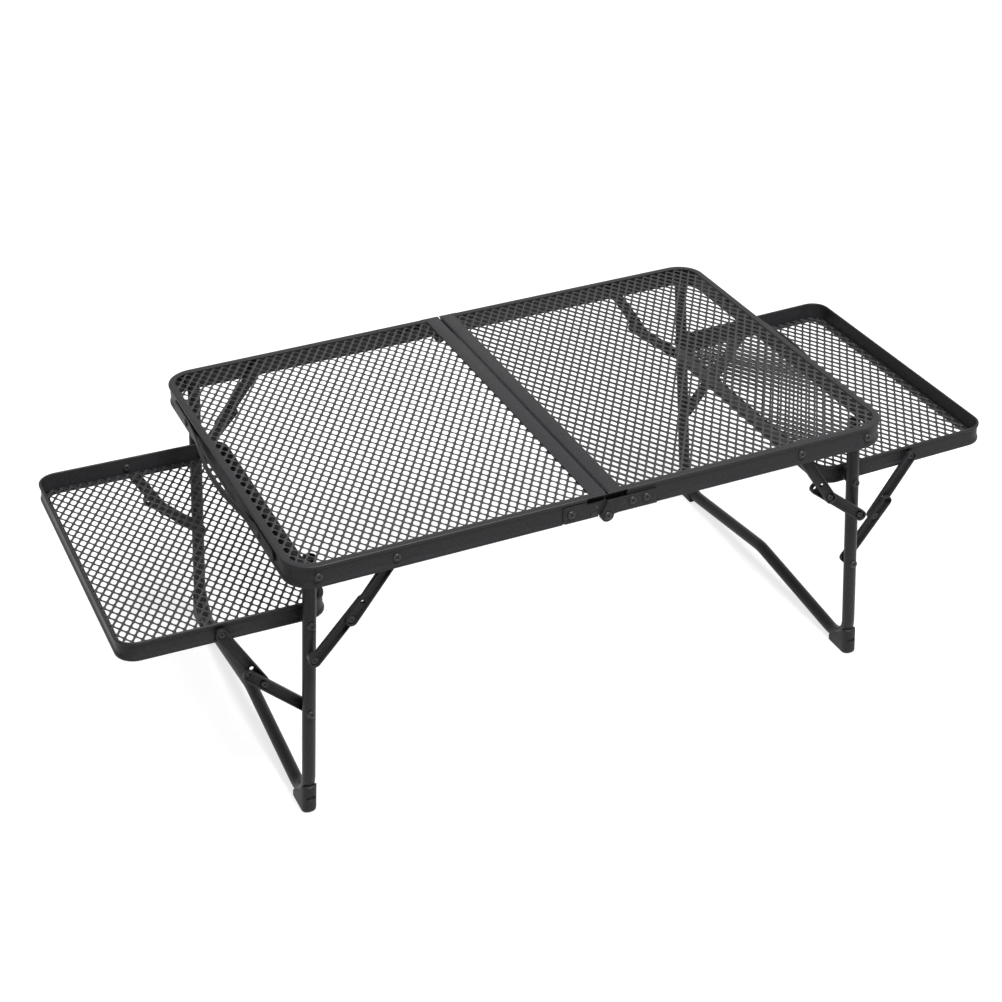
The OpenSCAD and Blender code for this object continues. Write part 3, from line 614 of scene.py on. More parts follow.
def plastic_finish(name, colour, grain, gloss):
    """Moulded plastic: a matt spark-eroded grain with scuffs that are a little paler."""
    finish = Finish(name)
    fine = finish.noise(grain, detail=2.0, rough=0.6)
    scuffs = finish.band(finish.noise(SCUFF_GRAIN, detail=4.0, rough=0.7), *SCUFFS)
    tone = finish.blend(scuffs * SCUFF_SHARE, tinted(colour, 1.0), tinted(colour, SCUFF))
    return finish.set(Base_Color=tone, Specular_IOR_Level=gloss,
                      Roughness=scuffs * SCUFF_ROUGH + fine * FINE_ROUGH + PLASTIC_ROUGH,
                      Normal=finish.bump(fine, PLASTIC_DEPTH * MM, strength=0.7))


def finishes():
    """The table's materials, made once."""
    if FINISH_NAMES["coat"] in bpy.data.materials:
        return {key: bpy.data.materials[name] for key, name in FINISH_NAMES.items()}
    look = bpy.context.scene.table_finish
    # Colour, grains per metre, roughness, depth of the peel in millimetres and strength of the reflections
    coats = {
        "coat": (look.coat, look.peel, look.rough, 0.06, look.gloss),
        "net": (look.net, look.peel, look.rough, 0.04, look.net_gloss),
        "tube": (look.coat, look.peel, look.rough * 0.85, 0.04, look.gloss),
        "rivet": (look.rivet, look.peel * 1.6, look.rough * 0.75, 0.015, look.rivet_gloss),
    }
    made = {key: coat_finish(FINISH_NAMES[key], *coat) for key, coat in coats.items()}
    made["plastic"] = plastic_finish(FINISH_NAMES["plastic"], look.plastic, look.peel, look.gloss)
    return made


# Rims

def top_path(first, corner, steps=14):
    """The outer edge of half the top, from x = first at the rear to the same x at the front, and its
    normals."""
    turn = np.linspace(0, math.pi / 2, steps)
    way = np.stack([np.sin(turn), np.cos(turn)], 1)
    arc = np.array([HALF_LEN - corner, HALF_WID - corner]) + corner * way
    rear = np.concatenate([[[first, HALF_WID]], arc])
    normals = np.concatenate([[[0.0, 1.0]], way])
    return with_front(rear), with_front(normals)


def with_front(rear):
    """Rows for the rear, and the same rows backwards and mirrored for the front."""
    return np.concatenate([rear, rear[::-1] * (1, -1)])


def carried(path, normals, profile, closed=False):
    """A profile of (inset, z) carried along a level path: each point moves in from the path by its inset."""
    inset, z = profile.T
    flat = path[:, None] - normals[:, None] * inset[None, :, None]
    tall = np.broadcast_to(z[None, :, None], flat.shape[:2] + (1,))
    grid = np.concatenate([flat, tall], 2)
    if closed:
        return Skin(grid.reshape(-1, 3), ring_quads(len(path), len(profile), closed=True))
    return loft(grid)


def rim_profile(sheet, lower_bead=True):
    """Section of the top's rim: flange, rolled bead, recessed web, rolled bead."""
    t, s, b = sheet.thick, sheet.bead_step, sheet.bead_h
    low, top = TOP_Z - RIM_H, TOP_Z - sheet.sunk
    outer = [(sheet.flange, top, 0.5), (0, top, 1.3), (0, top - b, 1.0), (s, top - b - sheet.step_up, 0.9)]
    foot = [(s, low, 0.5)]
    if lower_bead:
        foot = [(s, low + b + sheet.step_low, 0.9), (0, low + b, 1.0), (0, low, 1.0)]
    return section(outer + foot + [(s + t, low, 0.5), (s + t, top - t, 0.4), (sheet.flange, top - t, 0.5)])


def notched_profile(sheet):
    """Section of the rim above the hinge: the flange alone, with its rolled edge."""
    top, low = TOP_Z - sheet.sunk, TOP_Z - sheet.notch_top
    return section([(sheet.flange, top, 0.4), (0, top, 0.5), (0, low, 0.5), (sheet.flange, low, 0.4)])


def straight_rim(x0, x1, profile):
    """A straight length of rim at the rear, from x0 to x1."""
    path = np.array([[x0, HALF_WID], [x1, HALF_WID]])
    return carried(path, np.array([[0.0, 1.0]] * 2), profile)


def notch_backing(sheet, end):
    """The plate behind the notch, under the flange's inner edge. The left one reaches across the seam."""
    y = HALF_WID - sheet.flange
    near = SEAM_X if end.sign > 0 else sheet.backing_gap - SEAM_X
    far, high, low = sheet.notch + sheet.backing_lap, -sheet.notch_top, -sheet.backing_low
    outline, normals = rounded([(far, high), (near, high), (near, low), (far, low)], sheet.lip_edge)
    flat = plate(outline, normals, soft_levels(y, y + sheet.thick, sheet.plate_edge))
    return flat.moved(lambda p: np.stack([p[:, 0], p[:, 2], TOP_Z + p[:, 1]], 1))


def seam_bar(sheet):
    """The bar along the seam, a flat strip with rounded ends, and the lip turned down at the seam."""
    x, t = SEAM_X, sheet.thick
    y = HALF_WID - sheet.bead_step - t - sheet.bar_gap
    inner, outer = x + sheet.seam_set, x + sheet.seam_bar
    radii = [sheet.bar_in, sheet.bar_in, sheet.bar_out, sheet.bar_out]
    bar = rounded([(inner, y), (inner, -y), (outer, -y), (outer, y)], radii)
    y += sheet.lip_past
    lip = rounded([(x, y), (x, -y), (x + t, -y), (x + t, y)], sheet.lip_edge)
    return [plate(*bar, soft_levels(TOP_Z - t, TOP_Z, sheet.bar_edge)),
            plate(*lip, soft_levels(TOP_Z - sheet.seam_lip, TOP_Z - t / 2, sheet.lip_edge))]


class TABLE_OT_rims(bpy.types.Operator):
    """Rolls the rims of the two halves of the top"""
    bl_idname = "camping_table.rims"
    bl_label = "Rims"

    def execute(self, context):
        sheet = context.scene.table_sheet
        for end in ENDS:
            low, high = end.box("hinge_leaf_rear")
            beyond = max(abs(low[0]), abs(high[0])) + sheet.past_leaf
            skins = [carried(*top_path(beyond, sheet.corner), rim_profile(sheet))] + seam_bar(sheet)
            skins += straight_rim(SEAM_X, sheet.notch, notched_profile(sheet)).both_ends()
            skins += straight_rim(sheet.notch, beyond, rim_profile(sheet, lower_bead=False)).both_ends()
            skins += notch_backing(sheet, end).both_ends()
            piece(f"{end.name}_rim", skins, end, finishes()["coat"], f"{end.name}_panel",
                  [f"{end.name}_panel_frame"])
        return {"FINISHED"}


# Mesh

# Gaps between the mesh's edge and the rim's web, and between the mesh and its flange, in millimetres
NET_BORDER = 0.4
NET_CLEAR = 0.05

# Faces of less than half this area are dropped, in square millimetres
LEAST_AREA = 0.02

# Keeps a length that is divided by from being nothing
TINY = 1e-6


def opening_ring(roundness, per_side=3):
    """Points round a diamond of half diagonals 1, and the factor that rounds the opening inside it."""
    f = np.arange(per_side) / per_side
    side = np.stack([1 - f, f], 1)
    turns = [np.array([[1, 0], [0, 1]]), np.array([[0, 1], [-1, 0]]), -np.eye(2), np.array([[0, -1], [1, 0]])]
    ring = np.concatenate([side @ t for t in turns])
    swell = np.sum(np.abs(ring) ** roundness, 1) ** (-1 / roundness)
    return ring, swell


def net(low, high, half_width, corner_radius, corners_at, sizes, level):
    """Expanded mesh over a rectangle with rounded corners. Each opening is a ring of quads between its
    rounded outline and the diamond of strand middles round it. The outline rises on one side and falls on the
    other by the twist, so every strand leans. What passes the border is pushed back to it."""
    a, b = sizes.pitch_x / 2, sizes.pitch_y / 2
    ring, swell = opening_ring(sizes.roundness)
    reach = a * b / math.hypot(a, b)
    middle_swell = (2 * 0.5 ** sizes.roundness) ** (-1 / sizes.roundness)
    shrink = (reach - sizes.strand / 2) / reach / middle_swell
    columns = np.arange(0, (high - low) / a + 2)
    i, j = np.meshgrid(columns, np.arange(-half_width // b - 1, half_width / b + 2))
    keep = (i + j) % 2 == 0
    centres = np.stack([low + i[keep] * a, j[keep] * b], 1)
    lean = np.clip(ring[:, 0] * 2, -1, 1) * -sizes.twist
    outer = centres[:, None] + ring * (a, b)
    inner = centres[:, None] + ring * swell[:, None] * (a, b) * shrink
    shape = outer.shape[:2] + (1,)
    grid = np.stack([np.concatenate([outer, np.zeros(shape)], 2),
                     np.concatenate([inner, np.broadcast_to(lean[:, None], shape)], 2)], 1)
    grid[..., :2] = held_in(grid[..., :2], low, high, half_width, corner_radius, corners_at)
    grid[..., 2] += level
    starts = np.arange(len(centres)) * 2 * len(ring)
    quads = ring_quads(2, len(ring)) + starts[:, None, None]
    return cleaned(grid.reshape(-1, 3), quads.reshape(-1, 4))


def cleaned(points, quads):
    """Joins points that agree to 0.001 mm, and gives the points, quads and triangles that have an area."""
    points, index = np.unique(np.round(points, 3), axis=0, return_inverse=True)
    quads = index.reshape(-1)[quads]
    same = quads == np.roll(quads, -1, 1)
    crossed = (quads[:, 0] == quads[:, 2]) | (quads[:, 1] == quads[:, 3])
    pinched = (same.sum(1) == 1) & ~crossed
    threes = quads[pinched][~same[pinched]].reshape(-1, 3)
    fours = quads[~same.any(1) & ~crossed]
    fours = fours[doubled_areas(points, fours) > LEAST_AREA]
    threes = threes[doubled_areas(points, threes) > LEAST_AREA]
    used, index = np.unique(np.concatenate([fours.ravel(), threes.ravel()]), return_inverse=True)
    return points[used], index[:fours.size].reshape(-1, 4), index[fours.size:].reshape(-1, 3)


def doubled_areas(points, faces):
    """Twice each face's area: the cross product of a quad's diagonals, or of a triangle's sides."""
    first = points[faces[:, -2]] - points[faces[:, 0]]
    second = points[faces[:, -1]] - points[faces[:, 1]]
    return np.linalg.norm(np.cross(first, second), axis=1)


def held_in(flat, low, high, half_width, radius, corners_at):
    """Pushes points back inside a rectangle whose corners at the given x ends are rounded."""
    x, y = np.clip(flat[..., 0], low, high), np.clip(flat[..., 1], -half_width, half_width)
    for at, way in ((low, -1), (high, 1)):
        if at not in corners_at:
            continue
        cx, cy = at - way * radius, half_width - radius
        dx, dy = (x - cx) * way, np.abs(y) - cy
        away = np.maximum(np.hypot(dx, dy), TINY)
        far = (dx > 0) & (dy > 0) & (away > radius)
        pull = np.where(far, radius / away, 1)
        x = np.where(far, cx + way * dx * pull, x)
        y = np.where(far, np.sign(y) * (cy + dy * pull), y)
    return np.stack([x, y], -1)


def net_piece(name, surface, end, change, body, stands_for, sizes):
    """A mesh panel: the net's middle surface, placed and given its thickness by Solidify."""
    points, fours, threes = surface
    points = change(points) * (end.sign, 1, 1) * MM
    mesh = bpy.data.meshes.new(name)
    mesh.from_pydata(points.tolist(), [], fours[:, ::end.sign].tolist() + threes[:, ::end.sign].tolist())
    mesh.shade_smooth()
    obj = linked(name, mesh)
    wall = obj.modifiers.new("thickness", "SOLIDIFY")
    wall.thickness = sizes.thick * MM
    wall.offset = 0
    wall.use_even_offset = False
    return rigged(obj, finishes()["net"], body, stands_for)


class TABLE_OT_nets(bpy.types.Operator):
    """Stretches the expanded mesh over the top and the trays"""
    bl_idname = "camping_table.nets"
    bl_label = "Mesh"

    def execute(self, context):
        sheet, sizes = context.scene.table_sheet, context.scene.table_net
        border = sheet.bead_step + sheet.thick + NET_BORDER
        drop = sheet.thick + sizes.twist + sizes.thick / 2 + NET_CLEAR
        for end in ENDS:
            low, high = SEAM_X + sheet.thick + NET_BORDER, HALF_LEN - border
            surface = net(low, high, HALF_WID - border, sheet.corner - border, (high,), sizes, TOP_Z - drop)
            net_piece(f"{end.name}_top_mesh", surface, end, lambda p: p, f"{end.name}_panel",
                      [f"{end.name}_panel_mesh"], sizes)
            low, high = border - sheet.tray_in, sheet.tray_out - border
            surface = net(low, high, TRAY_HALF - border, sheet.tray_corner - border, (low, high), sizes,
                          drop - sheet.tray_up)
            net_piece(f"{end.name}_tray_net", surface, end, swung(end.tray, end.rise), f"{end.name}_tray",
                      [f"{end.name}_tray_mesh"], sizes)
        return {"FINISHED"}


# Trays

def tray_path(sheet, steps=12):
    """The tray's outer edge, anticlockwise from its outer rear corner, and its normals."""
    corners = [(sheet.tray_out, TRAY_HALF), (-sheet.tray_in, TRAY_HALF), (-sheet.tray_in, -TRAY_HALF),
               (sheet.tray_out, -TRAY_HALF)]
    return rounded(corners, sheet.tray_corner, steps)


def tray_profile(sheet):
    """Section of a tray's rim: bead, recessed web, bead, and the flange that carries the mesh."""
    t, s, b = sheet.thick, sheet.bead_step, sheet.bead_h
    low, high = -sheet.tray_up, sheet.tray_h - sheet.tray_up
    flange = s + sheet.tray_flange
    return section([
        (0, high, 1.1), (0, high - b, 1.0), (s, high - b - sheet.step_up, 0.9),
        (s, low + b + sheet.step_low, 0.9), (0, low + b, 1.0), (0, low, 1.2),
        (flange, low, 0.5), (flange, low + t, 0.5), (s + t, low + t, 0.5), (s + t, high, 1.0)])


class TABLE_OT_trays(bpy.types.Operator):
    """Rolls the rims of the side trays"""
    bl_idname = "camping_table.trays"
    bl_label = "Trays"

    def execute(self, context):
        sheet = context.scene.table_sheet
        rim = carried(*tray_path(sheet), tray_profile(sheet), closed=True)
        for end in ENDS:
            piece(f"{end.name}_tray_rim", [rim.moved(swung(end.tray, end.rise))], end, finishes()["coat"],
                  f"{end.name}_tray", [f"{end.name}_tray_frame"])
        return {"FINISHED"}


# Legs

# Steps of the tube's arcs at a foot and at half the rail's peak
BEND_STEPS = 16
PEAK_STEPS = 6

# Radii of a shoe's corners from the sole's front over the top to the sole's end, in millimetres
SHOE_RADII = (4.5, 2.0, 2.0, 6.0, 3.0, 2.5)

# Distance from a shoe's rounded edge to its first ring, distance between rings, and how near to the outer
# face a point has to be to sink into the recess, in millimetres
RING_START = 0.3
RING_STEP = 0.4
FACE_DEPTH = 0.1


def post_y():
    """Distance of a post's middle from the table's middle, from the leg frame's box."""
    return node_box("right_leg_frame")[1][1] - bpy.context.scene.table_tube.width / 2


def leg_length(end):
    return end.leg[1] / math.cos(math.radians(end.lean))


def leg_line(tube, end):
    """The tube's middle line in Y and Z below the pivot, from the rear post's head to the front post's head,
    and its normals: straights joined by arcs at the feet and at the rail's peak."""
    y = post_y()
    sole = -leg_length(end)
    slope = math.atan(tube.rail_rise / (y - tube.bend))
    foot = np.array([y - tube.bend, sole + tube.rail_h + tube.bend])
    a = np.linspace(0, math.pi / 2 + slope, BEND_STEPS)
    bend_way = np.stack([np.cos(a), -np.sin(a)], 1)
    last = foot + tube.bend * bend_way[-1]
    top = last[1] + last[0] * math.tan(slope)
    peak = np.array([0.0, top - tube.peak / math.cos(slope)])
    b = np.linspace(slope, 0, PEAK_STEPS)
    peak_way = np.stack([np.sin(b), np.cos(b)], 1)
    half = np.concatenate([[[y, tube.head]], foot + tube.bend * bend_way, peak + tube.peak * peak_way])
    out = np.concatenate([[[1.0, 0.0]], bend_way, -peak_way])
    other = slice(-2, None, -1)
    return np.concatenate([half, half[other] * (-1, 1)]), np.concatenate([out, out[other] * (-1, 1)])


def tube_skin(tube, end, around=32):
    """The tube: a circle carried along its line, with the wall turned in at both open ends."""
    line, out = leg_line(tube, end)
    inner = tube.width / 2 - tube.wall
    mouth = np.array([(0.0, -tube.mouth), (0.0, 0.0)])
    radii = np.concatenate([[inner, inner], np.full(len(line), tube.width / 2), [inner, inner]])
    line = np.concatenate([line[0] + mouth, line, line[-1] + mouth[::-1]])
    out = np.concatenate([out[[0, 0]], out, out[[-1, -1]]])
    a = np.linspace(0, 2 * math.pi, around, endpoint=False)
    across = radii[:, None] * np.sin(a)
    along = line[:, None] + out[:, None] * (radii[:, None] * np.cos(a))[..., None]
    return loft(np.concatenate([across[..., None], along], 2))


def denser(outline, normals, spacing=0.5):
    """The closed outline with points added wherever two neighbours are further apart than the spacing."""
    points, ways = [], []
    for p, q, way in zip(outline, np.roll(outline, -1, 0), normals):
        count = max(1, int(np.linalg.norm(q - p) / spacing))
        share = np.arange(count)[:, None] / count
        points.append(p + (q - p) * share)
        ways.append(np.repeat(way[None], count, 0))
    return np.concatenate(points), np.concatenate(ways)


def shoe_skin(tube, end):
    """A shoe: an outline in Y and Z with rounded edges across its width. It leans with its leg, and its sole
    is level. Its front falls away at both sides as a circle does from its tangent, and fades into the flat
    sides. The outer face sinks by the recess depth inside an ellipse."""
    out = node_box("right_rear_shoe")[1][1]
    w, l, h, toe = tube.shoe_w, tube.shoe_len, tube.shoe_h, tube.shoe_toe
    corners = [(out, 0), (out, h), (out - tube.shoe_top, h), (out - tube.shoe_knee, h - tube.knee_drop),
               (out - l, toe), (out - l, 0)]
    first, last = np.split(soft_levels(-w / 2, w / 2, tube.shoe_edge), 2)
    across = np.arange(-w / 2 + tube.shoe_edge + RING_START, w / 2 - tube.shoe_edge, RING_STEP)
    levels = np.concatenate([first, np.stack([across * 0, across], 1), last])
    lean = math.tan(math.radians(end.lean))

    def placed(p):
        y, z, x = p.T
        sunk = (x / tube.recess_w) ** 2 + ((z - tube.recess_up) / tube.recess_h) ** 2 < 1
        past = np.clip(np.abs(x) - w / 2 + tube.shoe_round, 0, tube.shoe_round)
        fall = tube.shoe_round - np.sqrt(tube.shoe_round ** 2 - past ** 2)
        share = np.clip((y - out) / tube.shoe_zone + 1, 0, 1)
        y = y - fall * share - np.where(sunk & (y > out - FACE_DEPTH), tube.recess_deep, 0)
        return np.stack([end.leg[0] + (end.leg[1] - z) * lean + x, y, z], 1)

    return plate(*denser(*rounded(corners, SHOE_RADII)), levels).moved(placed)


class TABLE_OT_legs(bpy.types.Operator):
    """Bends the leg tubes and moulds their shoes"""
    bl_idname = "camping_table.legs"
    bl_label = "Legs and shoes"

    def execute(self, context):
        tube = context.scene.table_tube
        look = finishes()
        for end in ENDS:
            body = f"{end.name}_leg"
            place = swung(end.leg, end.lean)
            piece(f"{end.name}_leg_tube", [tube_skin(tube, end).moved(place)], end, look["tube"], body,
                  [f"{end.name}_leg_frame"])
            for which, sign in (("front", -1), ("rear", 1)):
                skin = shoe_skin(tube, end).moved(lambda p: p * (1, sign, 1))
                piece(f"{end.name}_{which}_boot", [skin], end, look["plastic"], body,
                      [f"{end.name}_{which}_shoe"])
        return {"FINISHED"}


# Braces

ARMS = ("main_upper", "main_lower", "tray_upper", "tray_lower")


class TABLE_OT_braces(bpy.types.Operator):
    """Coats the pressed arms of the folding braces"""
    bl_idname = "camping_table.braces"
    bl_label = "Braces"

    def execute(self, context):
        edge = context.scene.table_fixing.edge
        for end in ENDS:
            for arm in ARMS:
                for which in ("front", "rear"):
                    softened(f"{end.name}_{arm}_arm_{which}", finishes()["coat"], f"{end.name}_{arm}",
                             edge)
        return {"FINISHED"}


# Rivets

# A head's dome: the power of its cosine, and its flat middle as a share of the head's radius
DOME_POWER = 0.55
DOME_FLAT = 0.42

# The lip, wall and floor of the dimple in a head, as shares of its radius and of its height
DIMPLE = ((0.34, 0.98), (0.27, 0.625), (0.2, 0.25))

# Where a profile ends beside its line, in millimetres
CORE = 0.05


def domed(y, way, fixing):
    """Profile of a hollow rivet's head from its rim to its middle, on a face at y, standing out by way."""
    r, h = fixing.head, fixing.head_h
    t = np.linspace(0, math.pi / 2, 7)
    dome = np.stack([r * (np.cos(t) ** DOME_POWER * (1 - DOME_FLAT) + DOME_FLAT), h * np.sin(t)], 1)
    cup = np.array(DIMPLE) * (r, h)
    profile = np.concatenate([[(r, 0.0)], dome, cup, [(CORE, cup[-1, 1])]])
    return np.stack([profile[:, 0], y + way * profile[:, 1]], 1)


def rivet(centre, parts, fixing, inner=None, outer=None):
    """A rivet about a line along Y: parts (radius, y0, y1), and heads at inner and outer if given."""
    profile = [np.array([(CORE, parts[0][1])]) if inner is None else domed(inner, -1, fixing)[::-1]]
    profile += [np.array([(radius, y0), (radius, y1)]) for radius, y0, y1 in parts]
    profile.append(np.array([(CORE, parts[-1][2])]) if outer is None else domed(outer, 1, fixing))
    return turned(np.concatenate(profile), centre)


def curved_away(radius, past):
    """How far a round corner has curved away at a distance past its start."""
    return radius - math.sqrt(radius ** 2 - max(0.0, past) ** 2)


def rivet_skins(end, sheet, fixing, tube):
    """Every group of rivets along Y at one end: name, body and surfaces at the rear."""
    web_out = HALF_WID - sheet.bead_step
    web_in = web_out - sheet.thick
    tray_out = TRAY_HALF - sheet.bead_step
    tray_in = tray_out - sheet.thick
    post_out, post_in = post_y() + tube.width / 2, post_y() - tube.width / 2
    s, gap, side, wall = fixing.shank, fixing.gap, fixing.side_gap, fixing.wall
    big, small = fixing.spacer, fixing.small_spacer
    upper, lower = MAIN_UPPER_IN, MAIN_LOWER_IN
    t_upper, t_lower = TRAY_UPPER_IN, TRAY_LOWER_IN
    free = web_in - gap - curved_away(sheet.corner - sheet.bead_step - sheet.thick,
                                      end.leg[0] + big - HALF_LEN + sheet.corner)
    yield "leg_pivots", "panel", [rivet(
        end.leg, [(s, post_in - gap, post_out + side), (big, post_out + side, free), (s, free, web_out)],
        fixing, post_in - gap, web_out)]
    yield "main_rim_rivets", "panel", [rivet(
        end.main_rim, [(s, upper, upper + wall + gap), (small, upper + wall + gap, web_in),
                       (s, web_in, web_out)], fixing, None, web_out)]
    yield "tray_pivots", "leg", [
        rivet(end.tray, [(s, tray_in - gap, tray_out + gap), (big, tray_out + gap, post_in - gap),
                         (s, post_in - gap, post_out + gap)], fixing, tray_in - gap, post_out + gap),
        rivet(end.tray_post, [(s, post_in + gap, post_out + gap)], fixing, None, post_out + gap)]
    yield "tray_rim_rivets", "tray", [rivet(
        end.tray_rim, [(s, tray_in, tray_out), (small, tray_out, t_upper - gap),
                       (s, t_upper - gap, t_upper + wall + gap)], fixing, tray_in, t_upper + wall + gap)]
    yield "main_elbow_rivets", "main_upper", [rivet(
        end.main_elbow, [(s, lower - gap, lower + wall + gap), (small, lower + wall + gap, upper),
                         (s, upper, upper + wall)], fixing, lower - gap, upper + wall)]
    yield "main_post_rivets", "main_lower", [rivet(
        end.main_post, [(big, post_out + side, lower), (s, lower, lower + wall)], fixing, None, lower + wall)]
    yield "tray_elbow_rivets", "tray_upper", [rivet(
        end.tray_elbow, [(s, t_upper, t_upper + wall), (small, t_upper + wall, t_lower - gap),
                         (s, t_lower - gap, t_lower + wall + gap)], fixing, None, t_lower + wall + gap)]
    yield "tray_post_rivets", "tray_lower", [rivet(
        end.tray_post, [(s, t_lower, t_lower + wall), (small, t_lower + wall, t_lower + ARM_T)], fixing)]


class TABLE_OT_rivets(bpy.types.Operator):
    """Sets the rivets and pivots of the legs, trays and braces"""
    bl_idname = "camping_table.rivets"
    bl_label = "Rivets"

    def execute(self, context):
        sheet, fixing, tube = context.scene.table_sheet, context.scene.table_fixing, context.scene.table_tube
        for end in ENDS:
            for name, body, skins in rivet_skins(end, sheet, fixing, tube):
                both = [copy for skin in skins for copy in skin.both_ends()]
                piece(f"{end.name}_{name}_set", both, end, finishes()["rivet"], f"{end.name}_{body}",
                      [f"{end.name}_{name}"])
        return {"FINISHED"}


# Hinges and handles

# Small studs of the left leaf: distance from the seam, distance below the top and radius, in millimetres
HINGE_STUDS = ((14.0, 19.2, 2.8), (11.1, 12.3, 1.8))

# Radius of a stud's flat end, as a share of the stud's radius
STUD_BEVEL = 0.7

# Points along a strap's rounded end, along its length and round its section
END_POINTS = 8
STRAP_POINTS = 90
ROUND_POINTS = 28

# Powers that square off a strap's section across and up, and the least share of its height at its ends
FACE_POWER = 0.35
SIDE_POWER = 0.5
LEAST_END = 0.02


def stud(centre, y, radius, height):
    """A low round stud with a bevelled edge, standing on a face at y."""
    return turned([(radius, y - height), (radius, y + height / 2), (radius * STUD_BEVEL, y + height)], centre)


def hinge_rivets(end, sheet, fixing):
    """The rivets of one end's hinge leaves, and the studs of the left leaf."""
    low, high = end.box("hinge_leaf_rear")
    inner, outer = min(low[1], HALF_WID - sheet.bead_step - sheet.thick), high[1]
    low, high = end.box("hinge_rivets")
    z = (low[2] + high[2]) / 2
    first, last = sorted(abs(x) for x in (low[0], high[0]))
    skins = []
    for x in sorted({round(first + fixing.head, 2), round(last - fixing.head, 2)}):
        skins += rivet((x, z), [(fixing.shank, inner, outer)], fixing, inner, outer).both_ends()
    if end.sign < 0:
        for x, drop, radius in HINGE_STUDS:
            skins += stud((x, TOP_Z - drop), outer, radius, fixing.head_h / 2).both_ends()
    return skins


def hinge_pin(sheet, fixing):
    """The rear hinge's pin, with a collar in the web."""
    low, high = node_box("hinge_pins")
    inner = node_box("left_hinge_leaf_rear")[0][1]
    outer = node_box("right_hinge_leaf_rear")[1][1] + fixing.gap
    web_out = HALF_WID - sheet.bead_step
    web_in = web_out - sheet.thick
    parts = [(fixing.pin, inner, web_in), (fixing.collar, web_in, web_out - fixing.gap),
             (fixing.pin, web_out - fixing.gap, outer)]
    return rivet(((low[0] + high[0]) / 2, (low[2] + high[2]) / 2), parts, fixing, inner, outer)


class TABLE_OT_hinges(bpy.types.Operator):
    """Coats the hinge leaves at the seam and sets their rivets and pins"""
    bl_idname = "camping_table.hinges"
    bl_label = "Hinges"

    def execute(self, context):
        sheet, fixing = context.scene.table_sheet, context.scene.table_fixing
        look = finishes()
        for end in ENDS:
            body = f"{end.name}_panel"
            for which in ("front", "rear"):
                leaf = f"{end.name}_hinge_leaf_{which}"
                softened(leaf, look["coat"], body, fixing.leaf_edge)
            piece(f"{end.name}_hinge_rivet_set", hinge_rivets(end, sheet, fixing), end, look["rivet"], body,
                  [f"{end.name}_hinge_rivets"])
        piece("hinge_pin_set", hinge_pin(sheet, fixing).both_ends(), ENDS[0], look["rivet"], "left_panel",
              ["hinge_pins"])
        return {"FINISHED"}


def handle_skin(end, sheet, handle):
    """The handle: a flat strap whose width, place and roundness vary along Y. It lies on the rim at its pads
    and bows out between them by the fourth-power hump (1 - (y / inner)^2)^2."""
    low, high = end.box("handle")
    face = HALF_LEN - sheet.bead_step
    half, middle, pad_h = high[1], (low[2] + high[2]) / 2, high[2] - low[2]
    thick, inner = handle.thick, handle.inner
    nose = half - pad_h / 2 * (1 - np.sin(np.linspace(0, math.pi / 2, END_POINTS)))
    y = np.concatenate([nose[::-1], np.linspace(nose[0], -nose[0], STRAP_POINTS)[1:-1], -nose])
    end_room = np.clip((half - np.abs(y)) / (pad_h / 2), LEAST_END, 1)
    round_end = np.sqrt(1 - (1 - end_room) ** 2)
    blend = np.clip((inner - np.abs(y)) / handle.taper, 0, 1)
    blend = blend * blend * (3 - 2 * blend)
    tall = (pad_h + (handle.strap_h - pad_h) * blend) / 2 * round_end
    out = face + np.where(np.abs(y) < inner, handle.bow * (1 - (y / inner) ** 2) ** 2, 0) + thick / 2
    a = np.linspace(0, 2 * math.pi, ROUND_POINTS, endpoint=False)
    c, s = np.cos(a), np.sin(a)
    x = out[:, None] + thick / 2 * (np.sign(c) * np.abs(c) ** FACE_POWER)[None]
    z = middle + tall[:, None] * (np.sign(s) * np.abs(s) ** SIDE_POWER)[None]
    return loft(np.stack([x, np.broadcast_to(y[:, None], x.shape), z], 2))


class TABLE_OT_handles(bpy.types.Operator):
    """Moulds the carrying handles and their rivets"""
    bl_idname = "camping_table.handles"
    bl_label = "Handles"

    def execute(self, context):
        sheet, fixing = context.scene.table_sheet, context.scene.table_fixing
        handle = context.scene.table_handle
        look = finishes()
        for end in ENDS:
            body = f"{end.name}_panel"
            piece(f"{end.name}_strap", [handle_skin(end, sheet, handle)], end, look["plastic"], body,
                  [f"{end.name}_handle"], sharp=50)
            low, high = end.box("handle_rivets")
            inner = HALF_LEN - sheet.bead_step - sheet.thick
            outer = HALF_LEN - sheet.bead_step + handle.thick
            z, y = (low[2] + high[2]) / 2, high[1] - fixing.head
            # Made along Y, then turned to lie along X
            made = rivet((0, 0), [(fixing.shank, inner, outer)], fixing, inner, outer)
            skin = made.moved(lambda p: np.stack([p[:, 1], y + p[:, 0], z + p[:, 2]], 1))
            piece(f"{end.name}_strap_rivets", skin.both_ends(), end, look["rivet"], body,
                  [f"{end.name}_handle_rivets"])
        return {"FINISHED"}


# Stage

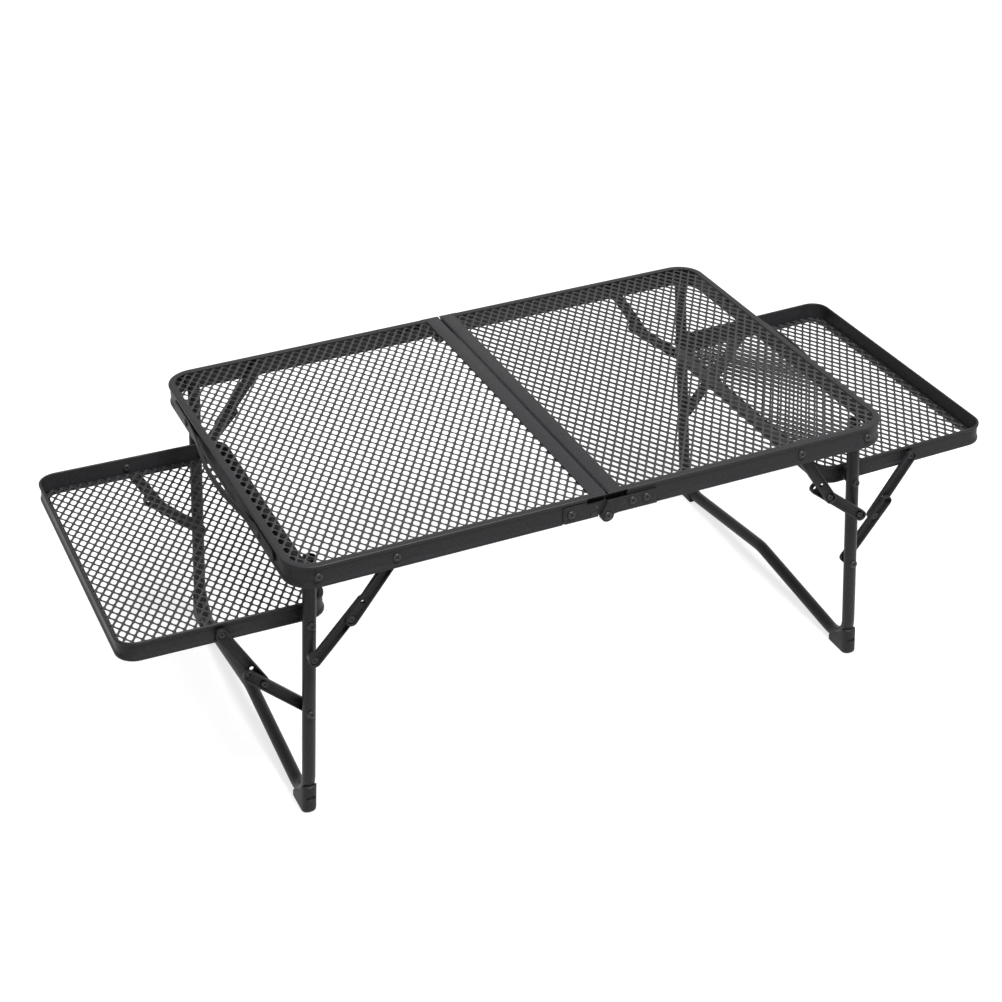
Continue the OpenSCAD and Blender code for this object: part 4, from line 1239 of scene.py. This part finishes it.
class TABLE_OT_stage(bpy.types.Operator):
    """Sets the pale floor, the soft light and the camera"""
    bl_idname = "camping_table.stage"
    bl_label = "Stage"

    def execute(self, context):
        scene, stage = context.scene, context.scene.table_stage
        scene.view_settings.view_transform = "Standard"
        f = stage.floor
        mesh = bpy.data.meshes.new("floor")
        mesh.from_pydata([(-f, -f, 0), (f, -f, 0), (f, f, 0), (-f, f, 0)], [], [(0, 1, 2, 3)])
        mesh.materials.append(floor_finish(stage))
        linked("floor", mesh)
        scene.world = surroundings(stage)
        lamp = bpy.data.lights.new("soft lamp", "AREA")
        lamp.shape, lamp.size, lamp.energy = "SQUARE", stage.lamp_size, stage.lamp
        lamp_obj = linked("soft lamp", lamp)
        lamp_obj.location = stage.lamp_place
        lamp_obj.rotation_euler = (-lamp_obj.location).to_track_quat("-Z", "Y").to_euler()
        camera = bpy.data.cameras.new("camera")
        camera.lens, camera.sensor_width = stage.lens, stage.sensor
        camera.clip_end = stage.sight
        camera_obj = linked("camera", camera)
        camera_obj.location = stage.place
        camera_obj.rotation_euler = Euler([math.radians(a) for a in stage.turn])
        scene.camera = camera_obj
        return {"FINISHED"}


def surroundings(stage):
    """Surroundings that look white and light the table softly."""
    world = bpy.data.worlds.new("white surroundings")
    world.use_nodes = True
    nodes = Nodes(world.node_tree)
    lights = nodes.node("ShaderNodeBackground", {}, {"Color": WHITE, "Strength": stage.fill})
    looks = nodes.node("ShaderNodeBackground", {}, {"Color": WHITE, "Strength": 1.0})
    nodes.shown(1.0, lights, looks, world.node_tree.nodes["World Output"])
    return world


def floor_finish(stage):
    """A matt pale floor with faint mottling. It looks almost white and keeps the table's shadow, and is plain
    white far away."""
    finish = Finish("pale floor")
    mottling = finish.band(finish.noise(FLOOR_GRAIN), *MIDDLE)
    material = finish.set(Base_Color=finish.blend(mottling, LESS_PALE, PALE), Roughness=0.9)
    glow = finish.node("ShaderNodeEmission", {}, {"Color": WHITE, "Strength": stage.glow})
    shader = Value(finish, finish.shader.outputs["BSDF"])
    measure = {"operation": "LENGTH"}
    distance = finish.node("ShaderNodeVectorMath", measure, {0: finish.place()}, output="Value")
    share = finish.band(distance, stage.near, stage.far) * (1 - stage.white) + stage.white
    finish.shown(share, shader, glow, finish.tree.nodes["Material Output"])
    return material


# Panel and run

OPERATORS = (TABLE_OT_stage, TABLE_OT_rims, TABLE_OT_nets, TABLE_OT_trays, TABLE_OT_legs, TABLE_OT_braces,
             TABLE_OT_rivets, TABLE_OT_hinges, TABLE_OT_handles)


class TABLE_PT_panel(bpy.types.Panel):
    """Lists the table's pieces in the sidebar"""
    bl_idname = "TABLE_PT_panel"
    bl_label = "Camping Table"
    bl_space_type = "VIEW_3D"
    bl_region_type = "UI"
    bl_category = "Camping Table"

    def draw(self, context):
        for operator in OPERATORS:
            self.layout.operator(operator.bl_idname)
        for name, group in GROUPS:
            box = self.layout.box()
            for key in group.__annotations__:
                box.prop(getattr(context.scene, name), key)


def register():
    for name, group in GROUPS:
        bpy.utils.register_class(group)
        setattr(bpy.types.Scene, name, PointerProperty(type=group))
    for cls in OPERATORS + (TABLE_PT_panel,):
        bpy.utils.register_class(cls)


def unregister():
    for cls in (TABLE_PT_panel,) + OPERATORS[::-1]:
        bpy.utils.unregister_class(cls)
    for name, group in GROUPS[::-1]:
        delattr(bpy.types.Scene, name)
        bpy.utils.unregister_class(group)


def main():
    register()
    for operator in OPERATORS:
        getattr(bpy.ops.camping_table, operator.bl_idname.split(".")[1])()


if __name__ == "__main__":
    main()
